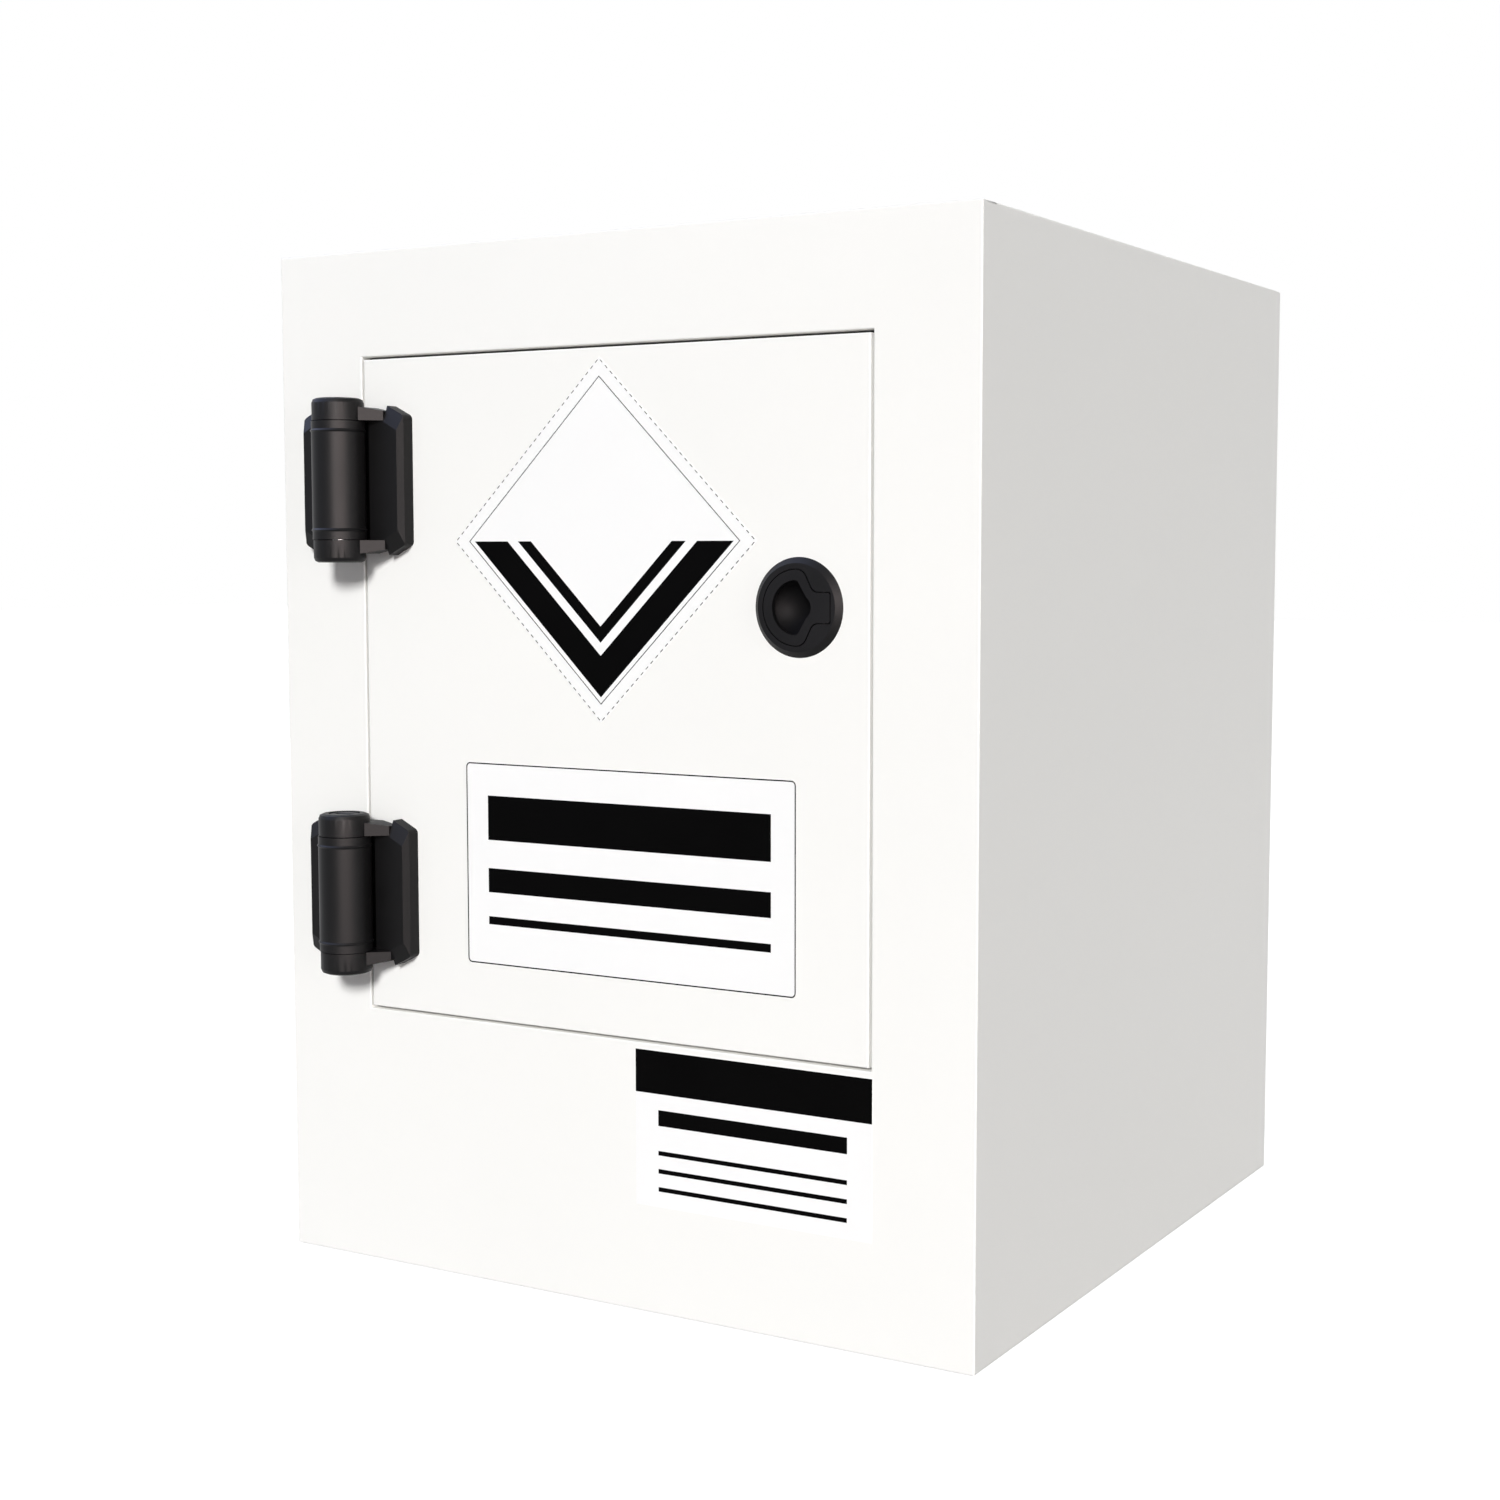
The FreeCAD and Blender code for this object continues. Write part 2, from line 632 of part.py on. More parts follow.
def build_hinge(name):
    """One spring hinge, drawn about the middle of its pin and put in place as a whole."""
    spot = ("hinge_x", "hinge_y", "hinge_high" if name == "upper" else "hinge_low")

    leaf = new_body(f"hinge_{name}_body_leaf", *spot)
    band_low = "band_level - band_half"
    band_high = "band_level + band_half"
    proud = "barrel_radius + band_proud"
    half = [
        ("barrel_radius", band_low),
        (proud, "band_level"),
        ("barrel_radius", band_high),
        ("barrel_radius", "barrel_half"),
    ]
    foot = [(radius, f"-({level})") for radius, level in half[::-1]]
    inside = [
        ("barrel_bore", "barrel_half"),
        ("barrel_bore", "bush_long - barrel_half"),
        ("pin_hole", "bush_long - barrel_half"),
        ("pin_hole", "-barrel_half"),
    ]
    profile = half + inside + foot
    turn(leaf, new_sketch(leaf, f"{name}_barrel", "XZ_Plane", "0", (profile,)), "V_Axis")
    add_leaf(leaf, "-", "leaf_nip", "barrel_bore + 2 * running_clear", "barrel_half - band_half")
    keep(leaf, f"hinge_{name}_body_leaf")

    flap = new_body(f"hinge_{name}_door_leaf", *spot)
    add_leaf(flap, "", "leaf_start", "leaf_block_start", "knuckle_low")
    plan = [
        ("0", "0"),
        ("knuckle_radius", "0"),
        ("leaf_pad_start", "leaf_face"),
        ("leaf_pad_start", "leaf_back"),
        ("leaf_start", "leaf_back"),
    ]
    arm = raise_pad(flap, new_sketch(flap, f"{name}_arm", "XY_Plane", "knuckle_low", (plan,)), "arm_tall")
    wedge = [
        ("knuckle_radius", "arm_high"),
        ("leaf_pad_start", "arm_high - arm_drop"),
        ("leaf_pad_start", "arm_high + overrun"),
    ]
    slope = sink(
        flap,
        new_sketch(flap, f"{name}_arm_slope", "XZ_Plane", "0", (wedge,)),
        "2 * hinge_standoff",
        middle=True,
    )
    eased = "knuckle_round * (1 - sqrt(2) / 2)"
    rim = [
        ("0", "knuckle_low"),
        ("knuckle_radius", "knuckle_low"),
        ("knuckle_radius", "knuckle_high - knuckle_round"),
        (f"knuckle_radius - {eased}", f"knuckle_high - {eased}"),
        ("knuckle_radius - knuckle_round", "knuckle_high"),
        ("0", "knuckle_high"),
    ]
    knuckle = turn(flap, new_sketch(flap, f"{name}_knuckle", "XZ_Plane", "0", (rim,)), "V_Axis")
    mirror_features(flap, [arm, slope, knuckle], "XY_Plane")
    bore = new_sketch(flap, f"{name}_pin_bore", "XY_Plane", "-(pin_top)", (), (("0", "0", "pin_hole"),))
    sink(flap, bore, "2 * knuckle_high", along=True)
    dial_seat = (("0", "0", "adjuster_radius + hole_clear"),)
    seat = new_sketch(flap, f"{name}_dial_seat", "XY_Plane", "knuckle_high", (), dial_seat)
    sink(flap, seat, "adjuster_thick + hole_clear")
    drill_leaf(flap, "")
    keep(flap, f"hinge_{name}_door_leaf")

    pin = doc.addObject("Part::Cylinder", f"hinge_{name}_pin")
    bind(pin, Radius="hinge_pin_radius", Height="2 * pin_top - hole_clear")
    place(pin, spot[0], spot[1], f"{spot[2]} - pin_top + hole_clear / 2")
    keep(pin, f"hinge_{name}_pin")

    bush = new_body(f"hinge_{name}_bush", *spot)
    ring = rectangle("pin_hole", "barrel_bore - running_clear", "barrel_half - bush_long", "barrel_half")
    turn(bush, new_sketch(bush, f"{name}_bush_profile", "XZ_Plane", "0", (ring,)), "V_Axis")
    keep(bush, f"hinge_{name}_bush")

    dial = new_body(f"hinge_{name}_adjuster", *spot)
    disc = (("0", "0", "adjuster_radius"),)
    face = new_sketch(dial, f"{name}_dial", "XY_Plane", "knuckle_high - adjuster_thick", (), disc)
    raise_pad(dial, face, "adjuster_thick - knuckle_gap")
    slot = mirrored_outline([
        ("-adjuster_radius * 2 / 3", "adjuster_key / 2"),
        ("adjuster_radius * 2 / 3", "adjuster_key / 2"),
    ])
    key = new_sketch(dial, f"{name}_key_slot", "XY_Plane", "knuckle_high - knuckle_gap", (slot,))
    sink(dial, key, "adjuster_thick / 2")
    keep(dial, f"hinge_{name}_adjuster")

    coil_long = "2 * (barrel_half - bush_long - hole_clear)"
    coil(f"hinge_{name}_spring", spot, "coil_radius", "coil_wire", "coil_turns", coil_long)
    leaf_screws(f"hinge_{name}_door_screws", spot[2])


def leaf_screws(label, middle):
    """Two hexagon-headed screws put in from the door's back, which hold a leaf by its blind holes."""
    back = "front_face + door_thick"
    body = new_body(label, "hinge_x + leaf_screw_reach", back, f"{middle} - leaf_screw_spread / 2")
    corner = "leaf_screw_head / cos(30)"
    hexagon = [
        (f"{corner}", "0"),
        (f"{corner} / 2", "leaf_screw_head"),
        (f"-{corner} / 2", "leaf_screw_head"),
        (f"-{corner}", "0"),
        (f"-{corner} / 2", "-leaf_screw_head"),
        (f"{corner} / 2", "-leaf_screw_head"),
    ]
    nut = new_sketch(body, f"{label}_head", "XZ_Plane", "-(leaf_screw_head_thick)", (hexagon,))
    head = raise_pad(body, nut, "leaf_screw_head_thick")
    rod = new_sketch(body, f"{label}_shank", "XZ_Plane", "0", (), (("0", "0", "leaf_screw_radius"),))
    shank = raise_pad(body, rod, "door_thick + leaf_screw_bite")
    repeat_features(body, f"{label}_pair", [head, shank], "Z_Axis", "leaf_screw_spread", 2)
    keep(body, label)


def coil(label, spot, radius, wire, turns, height, steps=8):
    """A coil of square wire about its own Z axis, centred on a place, with flat facets only."""
    radius, wire, height = number(radius), number(wire), number(height)
    count = round(number(turns) * steps)
    sections = []
    for step in range(count + 1):
        angle = 2 * math.pi * step / steps
        out = FreeCAD.Vector(math.cos(angle), math.sin(angle), 0)
        rise = FreeCAD.Vector(0, 0, (height - wire) * (step / count - 1 / 2))
        sections.append([
            out * (radius + side * wire / 2) + rise + FreeCAD.Vector(0, 0, lift * wire / 2)
            for side, lift in ((-1, -1), (1, -1), (1, 1), (-1, 1))
        ])
    facets = [sections[0], sections[-1]]
    for near, far in zip(sections, sections[1:]):
        for corner in range(4):
            after = (corner + 1) % 4
            facets.append((near[corner], near[after], far[after]))
            facets.append((near[corner], far[after], far[corner]))
    faces = [Part.Face(Part.makePolygon([*facet, facet[0]])) for facet in facets]
    winding = doc.addObject("Part::Feature", label)
    winding.Shape = Part.makeSolid(Part.makeShell(faces))
    place(winding, *spot)
    return keep(winding, label)


def lever_corners(grow):
    """The shoulder, the neck and the tab's end of the lever's outline, let out by a gap."""
    shoulder = f"(lever_shoulder_x + {grow})"
    return [
        (shoulder, f"sqrt((lever_radius + {grow}) ^ 2 - {shoulder} ^ 2)"),
        (f"lever_neck_x + {grow}", f"lever_tab_half + {grow}"),
        (f"lever_tab_end + {grow}", f"lever_tab_half + {grow}"),
    ]


def lever_outline(grow):
    """The lever seen from the front: a round head that narrows to a square tab."""
    outline = mirrored_outline(lever_corners(grow)[::-1])
    last = len(outline) // 2 - 1
    outline[last] = (*outline[last], "0")
    return outline


def round_lever_edges(body, grow, low, high):
    """Rounds the shoulders, the neck and the tab's end of the lever's outline."""
    radii = ("lever_shoulder_round", "lever_neck_round", "lever_tab_round")
    for (x, z), radius in zip(lever_corners(grow), radii):
        edges = [edge for edge in body.Tip.Shape.Edges if low < edge.CenterOfMass.y < high]
        spots = [nearest_upright(edges, number(x), side * number(z)).CenterOfMass for side in (1, -1)]
        round_edges(
            body,
            radius,
            lambda edge: min((edge.CenterOfMass - spot).Length for spot in spots) < slack,
        )


def build_latch():
    """The flush latch: its housing in the door, the finger lever, the bolt and what holds them."""
    spot = ("latch_x", "front_face", "latch_z")
    housing = new_body("latch_housing", *spot)
    shell = [
        ("-bezel_proud", "0"),
        ("-bezel_proud", "bezel_face_radius"),
        ("0", "bezel_radius"),
        ("0", "housing_radius"),
        ("housing_back", "housing_radius"),
        ("housing_back", "0"),
    ]
    turn(housing, new_sketch(housing, "housing_profile", "YZ_Plane", "0", (shell,)), "H_Axis")
    pocket = new_sketch(housing, "lever_pocket", "XZ_Plane", "bezel_proud", (lever_outline("lever_groove"),))
    sink(housing, pocket, "bezel_proud + pocket_floor")
    low, high = number("-bezel_proud - overrun"), number("pocket_floor + hole_clear")
    round_lever_edges(housing, "lever_groove", low, high)
    well = mirrored_outline([
        ("pivot_x - tail_half_wide * 2 - hole_clear", "lever_tab_half + lever_groove"),
        ("lever_tab_end + lever_groove", "lever_tab_half + lever_groove"),
    ])
    sink(housing, new_sketch(housing, "tab_well", "XZ_Plane", "0", (well,)), "pivot_sink + 2 * hole_clear")
    fan = [
        ("pivot_x + tail_half_wide + hole_clear", "pivot_y"),
        ("pivot_x + tail_half_wide + hole_clear", "housing_back"),
        ("pivot_x - swing_left", "housing_back"),
        ("pivot_x - swing_left", "bolt_front"),
        ("pivot_x - tail_half_wide * 2", "pivot_y"),
    ]
    swept = new_sketch(housing, "tail_fan", "XY_Plane", "0", (fan,))
    sink(housing, swept, "2 * (tail_half_tall + hole_clear)", middle=True)
    channel = mirrored_outline([
        ("-channel_back", "bolt_half_tall + bolt_clear"),
        ("housing_radius + overrun", "bolt_half_tall + bolt_clear"),
    ])
    slide = new_sketch(housing, "bolt_channel", "XZ_Plane", "-(housing_back)", (channel,))
    sink(housing, slide, "bolt_thick + 2 * bolt_clear", along=True)
    pin_hole = (("pivot_x", "pivot_y", "lever_pin_hole"),)
    pin_holes = new_sketch(housing, "lever_pin_holes", "XY_Plane", "0", (), pin_hole)
    sink(housing, pin_holes, "2 * (lever_pin_half + hole_clear)", middle=True)
    cup = housing.newObject("PartDesign::SubtractiveSphere", "finger_cup")
    bind(cup, Radius="cup_sphere")
    bind(cup, Placement__Base__x="-cup_centre_x", Placement__Base__y="cup_deep - cup_sphere")
    doc.recompute()
    keep(housing, "latch_housing")

    lever = new_body("latch_lever", *spot)
    plate = new_sketch(lever, "lever_face", "XZ_Plane", "-(lever_back)", (lever_outline("0"),))
    raise_pad(lever, plate, "lever_thick")
    round_lever_edges(lever, "0", number("-bezel_proud - overrun"), number("overrun"))
    finger = [
        ("hole_top_x", "hole_top_z", "0"),
        ("hole_top_x", "-hole_top_z"),
        ("hole_knee_x", "-hole_knee_z", "hole_bulge_x"),
        ("hole_knee_x", "hole_knee_z"),
    ]
    opened = new_sketch(lever, "finger_hole", "XZ_Plane", "bezel_proud", (finger,))
    sink(lever, opened, "lever_thick + overrun")
    tip_x, tip_z = number("hole_top_x"), number("hole_top_z")
    round_edges(lever, "hole_round", lambda edge: stands_at(edge, tip_x, tip_z))
    hub = new_sketch(lever, "lever_hub", "XY_Plane", "0", (), (("pivot_x", "pivot_y", "pivot_sink"),))
    raise_pad(lever, hub, "2 * (lever_tab_half - lever_tab_round)", middle=True)
    tail = rectangle("pivot_x - tail_half_wide", "pivot_x + tail_half_wide", "pivot_y", "pivot_y + tail_long")
    blade = new_sketch(lever, "lever_tail", "XY_Plane", "0", (tail,))
    raise_pad(lever, blade, "2 * tail_half_tall", middle=True)
    bore = new_sketch(lever, "lever_bore", "XY_Plane", "0", (), pin_hole)
    sink(lever, bore, "2 * (lever_tab_half + overrun)", middle=True)
    keep(lever, "latch_lever")

    pin = doc.addObject("Part::Cylinder", "lever_pin")
    bind(pin, Radius="lever_pin_radius", Height="2 * lever_pin_half")
    place(pin, "latch_x + pivot_x", "front_face + pivot_y", "latch_z - lever_pin_half")
    keep(pin, "lever_pin")

    ring = new_body("latch_lock_ring", *spot)
    circles = (("0", "0", "ring_radius"), ("0", "0", "housing_radius + running_clear"))
    ring_back = "-(door_thick + ring_thick)"
    raise_pad(ring, new_sketch(ring, "ring_outline", "XZ_Plane", ring_back, (), circles), "ring_thick")
    notch = rectangle("ring_radius - ring_notch / 2", "ring_radius + overrun", "-ring_notch", "ring_notch")
    notched = new_sketch(ring, "ring_notch_outline", "XZ_Plane", ring_back, (notch,))
    slot = sink(ring, notched, "ring_thick", along=True)
    notches = ring.newObject("PartDesign::PolarPattern", "ring_notches")
    notches.Originals = [slot]
    notches.Axis = (origin_part(ring, "Y_Axis"), [""])
    notches.Angle = 360
    notches.Occurrences = 4
    ring.Tip = notches
    doc.recompute()
    keep(ring, "latch_lock_ring")

    cover = new_body("latch_cover", *spot)
    disc = (("0", "0", "cover_radius"),)
    lid = new_sketch(cover, "cover_outline", "XZ_Plane", "-(housing_back + cover_thick)", (), disc)
    raise_pad(cover, lid, "cover_thick")
    keep(cover, "latch_cover")

    bolt = new_body("latch_bolt", *spot)
    plan = [
        ("bolt_tail", "bolt_front"),
        ("bolt_tip", "bolt_front"),
        ("bolt_tip", "bolt_back - bolt_bevel"),
        ("bolt_tip - bolt_bevel", "bolt_back"),
        ("bolt_tail", "bolt_back"),
    ]
    shank = new_sketch(bolt, "bolt_plan", "XY_Plane", "0", (plan,))
    raise_pad(bolt, shank, "2 * bolt_half_tall", middle=True)
    window = mirrored_outline([
        ("pivot_x - tail_half_wide - 2 * hole_clear", "tail_half_tall + hole_clear"),
        ("pivot_x + tail_half_wide * 2 + 3 * hole_clear", "tail_half_tall + hole_clear"),
    ])
    sink(bolt, new_sketch(bolt, "bolt_window", "XZ_Plane", "-(bolt_front)", (window,)), "bolt_thick")
    stub_round = (("bolt_middle", "0", "bolt_stub_radius"),)
    stub = new_sketch(bolt, "bolt_stub", "YZ_Plane", "bolt_tail - bolt_stub_long", (), stub_round)
    raise_pad(bolt, stub, "bolt_stub_long")
    keep(bolt, "latch_bolt")

    run = "bolt_tail + channel_back - hole_clear"
    coil_spot = (
        f"latch_x + bolt_tail - ({run}) / 2 - hole_clear / 2",
        "front_face + bolt_middle",
        "latch_z",
    )
    spring = coil("bolt_spring", coil_spot, "bolt_coil_radius", "bolt_coil_wire", "bolt_coil_turns", run)
    spring.Placement.Rotation = FreeCAD.Rotation(FreeCAD.Vector(0, 1, 0), 90)


def write_pieces():
    """Checks every object and every piece, then writes each piece to its own file."""
    doc.recompute()
    for thing in doc.Objects:
        if {"Invalid", "Error"} & set(thing.State):
            raise RuntimeError(f"{thing.Label} did not recompute: {thing.State}")
    for piece in pieces:
        if piece.Shape.isNull() or not piece.Shape.isValid() or not piece.Shape.Solids:
            raise RuntimeError(f"{piece.Label} is not a sound solid")
    os.makedirs("parts", exist_ok=True)
    for piece in pieces:
        piece.Shape.exportStep(f"parts/{piece.Label}.step")
    print(f"{len(pieces)} pieces written")


build_box()
build_front()
build_stop()
build_strike()
build_door()
build_inside()
build_hinge("upper")
build_hinge("lower")
build_latch()
write_pieces()
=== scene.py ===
"""Dresses a bench-top plastic cabinet: sheet, hinges, latch, stickers, fasteners and studio.

Metres, +Z up, the door looks along -Y and the origin is under the middle of the base.
"""

import json
import math
from typing import NamedTuple

import bmesh
import bpy
from bpy.props import FloatProperty, FloatVectorProperty, PointerProperty
from mathutils import Matrix, Vector


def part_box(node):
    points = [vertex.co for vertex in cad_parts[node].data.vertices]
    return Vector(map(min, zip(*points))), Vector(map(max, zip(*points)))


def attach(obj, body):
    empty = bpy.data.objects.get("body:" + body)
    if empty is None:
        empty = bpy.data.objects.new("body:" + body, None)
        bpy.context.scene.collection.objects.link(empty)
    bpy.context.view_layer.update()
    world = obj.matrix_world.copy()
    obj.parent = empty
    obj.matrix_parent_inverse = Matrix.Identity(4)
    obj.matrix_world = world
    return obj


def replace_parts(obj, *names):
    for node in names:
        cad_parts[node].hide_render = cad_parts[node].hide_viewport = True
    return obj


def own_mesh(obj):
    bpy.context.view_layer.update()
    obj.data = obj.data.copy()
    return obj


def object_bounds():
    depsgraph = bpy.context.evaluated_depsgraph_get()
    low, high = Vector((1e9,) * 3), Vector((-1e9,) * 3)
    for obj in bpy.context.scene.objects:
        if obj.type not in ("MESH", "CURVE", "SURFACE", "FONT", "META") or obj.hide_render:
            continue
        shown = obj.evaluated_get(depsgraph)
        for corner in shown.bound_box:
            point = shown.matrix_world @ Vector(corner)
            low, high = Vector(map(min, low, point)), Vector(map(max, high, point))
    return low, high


bl_info = {
    "name": "Plastic bench cabinet",
    "version": (1, 0, 0),
    "blender": (4, 5, 0),
    "location": "View3D > Sidebar > Cabinet",
    "description": "Finishes, hinges, latch, stickers and studio of a one-door plastic cabinet",
    "category": "Add Mesh",
}

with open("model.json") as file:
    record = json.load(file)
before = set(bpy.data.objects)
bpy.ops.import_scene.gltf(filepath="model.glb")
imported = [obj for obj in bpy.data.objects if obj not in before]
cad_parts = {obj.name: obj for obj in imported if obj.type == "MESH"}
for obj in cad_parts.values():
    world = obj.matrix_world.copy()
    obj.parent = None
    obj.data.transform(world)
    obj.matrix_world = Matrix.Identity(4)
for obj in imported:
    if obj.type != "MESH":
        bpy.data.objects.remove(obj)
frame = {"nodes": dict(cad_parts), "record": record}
CAD_BOX = [list(corner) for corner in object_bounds()]
MM = 0.001
PHOTO_SIDE = 1500
SENSOR_MM = 36
NEAREST = 10 * MM

SHELL_NODES = ("front_frame", "left_side_panel", "right_side_panel", "top_panel", "base_panel", "back_panel")
INNER_NODES = (
    "shelf_rest_left", "shelf_rest_right", "shelf", "grille_rest_left", "grille_rest_right",
    "grille_rest_middle", "sump_grille_left", "sump_grille_right", "door_stop_frame",
)
HINGES = ("upper", "lower")
HINGE_PARTS = ("body_leaf", "door_leaf", "adjuster")
WIRE_PARTS = ("spring", "pin")
HINGE_NODES = tuple(f"hinge_{name}_{part}" for name in HINGES for part in HINGE_PARTS)
WIRE_NODES = tuple(f"hinge_{name}_{part}" for name in HINGES for part in WIRE_PARTS)
STEEL_NODES = ("strike_plate", "latch_bolt", *(f"hinge_{name}_door_screws" for name in HINGES))
LATCH_FRONT_NODES = ("latch_housing", "latch_lever")
LATCH_BACK_NODES = ("latch_lock_ring", "latch_cover")
DRESSED = {
    "sheet": (*SHELL_NODES, *INNER_NODES, "door_panel"),
    "hinge_nylon": HINGE_NODES,
    "bush_nylon": tuple(f"hinge_{name}_bush" for name in HINGES),
    "latch_plastic": (*LATCH_FRONT_NODES, *LATCH_BACK_NODES),
    "steel": (*STEEL_NODES, *WIRE_NODES, "bolt_spring"),
    "pin_steel": ("lever_pin",),
    "seal": ("door_seal",),
}

# corners this close are one corner, and a corner this near a plane lies in it
MERGE_GAP = 0.001 * MM
PLANE_GAP = 0.01 * MM
# faces that meet at less than this are one flat face
FLAT_ANGLE = math.radians(0.5)
# an edge sharper than this is hard and gets eased
HARD_ANGLE = math.radians(22)
# a screw's edge is hard over the first angle and eased over the second
HEAD_HARD_ANGLE = math.radians(30)
HEAD_EASED_ANGLE = math.radians(40)
# a rim is where the front meets a wall at more than this
WALL_ANGLE = math.radians(60)
# steps of an eased edge, of a sheet's rounding and of a sticker's corner
EDGE_STEPS = 2
SHEET_STEPS = 3
CORNER_STEPS = 5
# sides of a round and of a hexagon head
ROUND_SIDES = 28
HEX_SIDES = 6
# share of a normal that points along Y on a face that looks back
BACKWARD = 0.9
COVER_SCREWS = 3

# the diamond's inner square as a share of the whole, and its bands from outer to inner edge as shares of that
INNER_SHARE = 0.899
V_SHARES = ((0.955, 0.7), (0.62, 0.52))
# the trim line's distance from the diamond's edge, in thin lines
TRIM_INSET = 1.5
# start and length of a dash, as shares of the pitch
DASH_START = 0.25
DASH_LONG = 0.5
# rules from foot to head as shares of the field's height, and their length as a share of its width
SIGN_RULE_SHARES = ((0.62, 0.84, 0.86), (0.36, 0.48, 0.86), (0.2, 0.24, 0.86))
PLATE_RULE_SHARES = ((0.72, 0.86, 0.8), (0.46, 0.5, 0.8), (0.3, 0.34, 0.8), (0.14, 0.18, 0.8))

# rays that see plain white around the cabinet
WHITE_RAYS = ("Is Camera Ray", "Is Glossy Ray", "Is Transmission Ray")
# the soft lamps, those that light surfaces and those that show in gloss
LAMPS = ("fill", "rear", "sheen", "sky")
DIFFUSE_LAMPS = ("fill", "rear")
GLOSS_LAMPS = ("fill", "sheen", "sky")
FLOOR_ROUGHNESS = 0.9

# what a noise mask runs between, and the detail of the fine grain and of the slow mottling
NOISE_LOW, NOISE_HIGH = 0.3, 0.7
GRAIN_DETAIL = 3.0
MOTTLE_DETAIL = 4.0


class Stock(NamedTuple):
    """One finish: its colour property, roughness range and surface; bump, grain and mottle in millimetres."""
    colour: str
    roughness: tuple
    bump: float
    grain: float
    mottle: float
    shade: float
    gloss: float
    metallic: float = 0.0


STOCKS = {
    "sheet": Stock("sheet_colour", (0.42, 0.5), bump=0.004, grain=1.2, mottle=180, shade=0.012, gloss=0.25),
    "hinge_nylon": Stock(
        "hinge_colour", (0.4, 0.46), bump=0.008, grain=0.35, mottle=30, shade=0.15, gloss=0.12,
    ),
    "latch_plastic": Stock(
        "latch_colour", (0.4, 0.47), bump=0.01, grain=0.3, mottle=25, shade=0.15, gloss=0.12,
    ),
    "latch_recess": Stock(
        "latch_colour", (0.55, 0.62), bump=0.012, grain=0.3, mottle=25, shade=0.15, gloss=0.06,
    ),
    "bush_nylon": Stock("nylon_colour", (0.5, 0.6), bump=0.006, grain=0.5, mottle=8, shade=0.2, gloss=0.12),
    "steel": Stock(
        "steel_colour", (0.24, 0.34), bump=0.003, grain=0.3, mottle=12, shade=0.1, gloss=0.5, metallic=1.0,
    ),
    "pin_steel": Stock("pin_colour", (0.5, 0.6), bump=0.003, grain=0.3, mottle=12, shade=0.1, gloss=0.1),
    "seal": Stock("rubber_colour", (0.75, 0.9), bump=0.06, grain=0.7, mottle=15, shade=0.3, gloss=0.3),
    "vinyl": Stock("vinyl_colour", (0.34, 0.4), bump=0.002, grain=2.0, mottle=60, shade=0.01, gloss=0.3),
    "ink": Stock("ink_colour", (0.4, 0.48), bump=0.002, grain=2.0, mottle=40, shade=0.2, gloss=0.02),
    "trim_ink": Stock("trim_colour", (0.4, 0.48), bump=0.002, grain=2.0, mottle=40, shade=0.2, gloss=0.02),
}


class CabinetFinish(bpy.types.PropertyGroup):
    """Colours of the stocks."""
    sheet_colour: FloatVectorProperty(
        name="Sheet", description="Welded plastic sheet", subtype="COLOR", default=(0.965, 0.962, 0.935),
    )
    hinge_colour: FloatVectorProperty(
        name="Hinge", description="Filled nylon of the hinges", subtype="COLOR",
        default=(0.0035, 0.0035, 0.0038),
    )
    latch_colour: FloatVectorProperty(
        name="Latch", description="Grained plastic of the latch", subtype="COLOR",
        default=(0.003, 0.003, 0.0034),
    )
    nylon_colour: FloatVectorProperty(
        name="Bush", description="Dark nylon of the bushes", subtype="COLOR", default=(0.008, 0.008, 0.009),
    )
    steel_colour: FloatVectorProperty(
        name="Steel", description="Plain stainless steel", subtype="COLOR", default=(0.56, 0.56, 0.57),
    )
    pin_colour: FloatVectorProperty(
        name="Lever pin", description="Blackened steel", subtype="COLOR", default=(0.012, 0.012, 0.012),
    )
    rubber_colour: FloatVectorProperty(
        name="Seal", description="Black sponge rubber", subtype="COLOR", default=(0.025, 0.025, 0.026),
    )
    vinyl_colour: FloatVectorProperty(
        name="Vinyl", description="White sticker stock", subtype="COLOR", default=(0.99, 0.99, 0.985),
    )
    ink_colour: FloatVectorProperty(
        name="Ink", description="Black print", subtype="COLOR", default=(0.0008, 0.0008, 0.0008),
    )
    trim_colour: FloatVectorProperty(
        name="Trim line", description="Grey of the dashed line", subtype="COLOR", default=(0.03, 0.03, 0.03),
    )


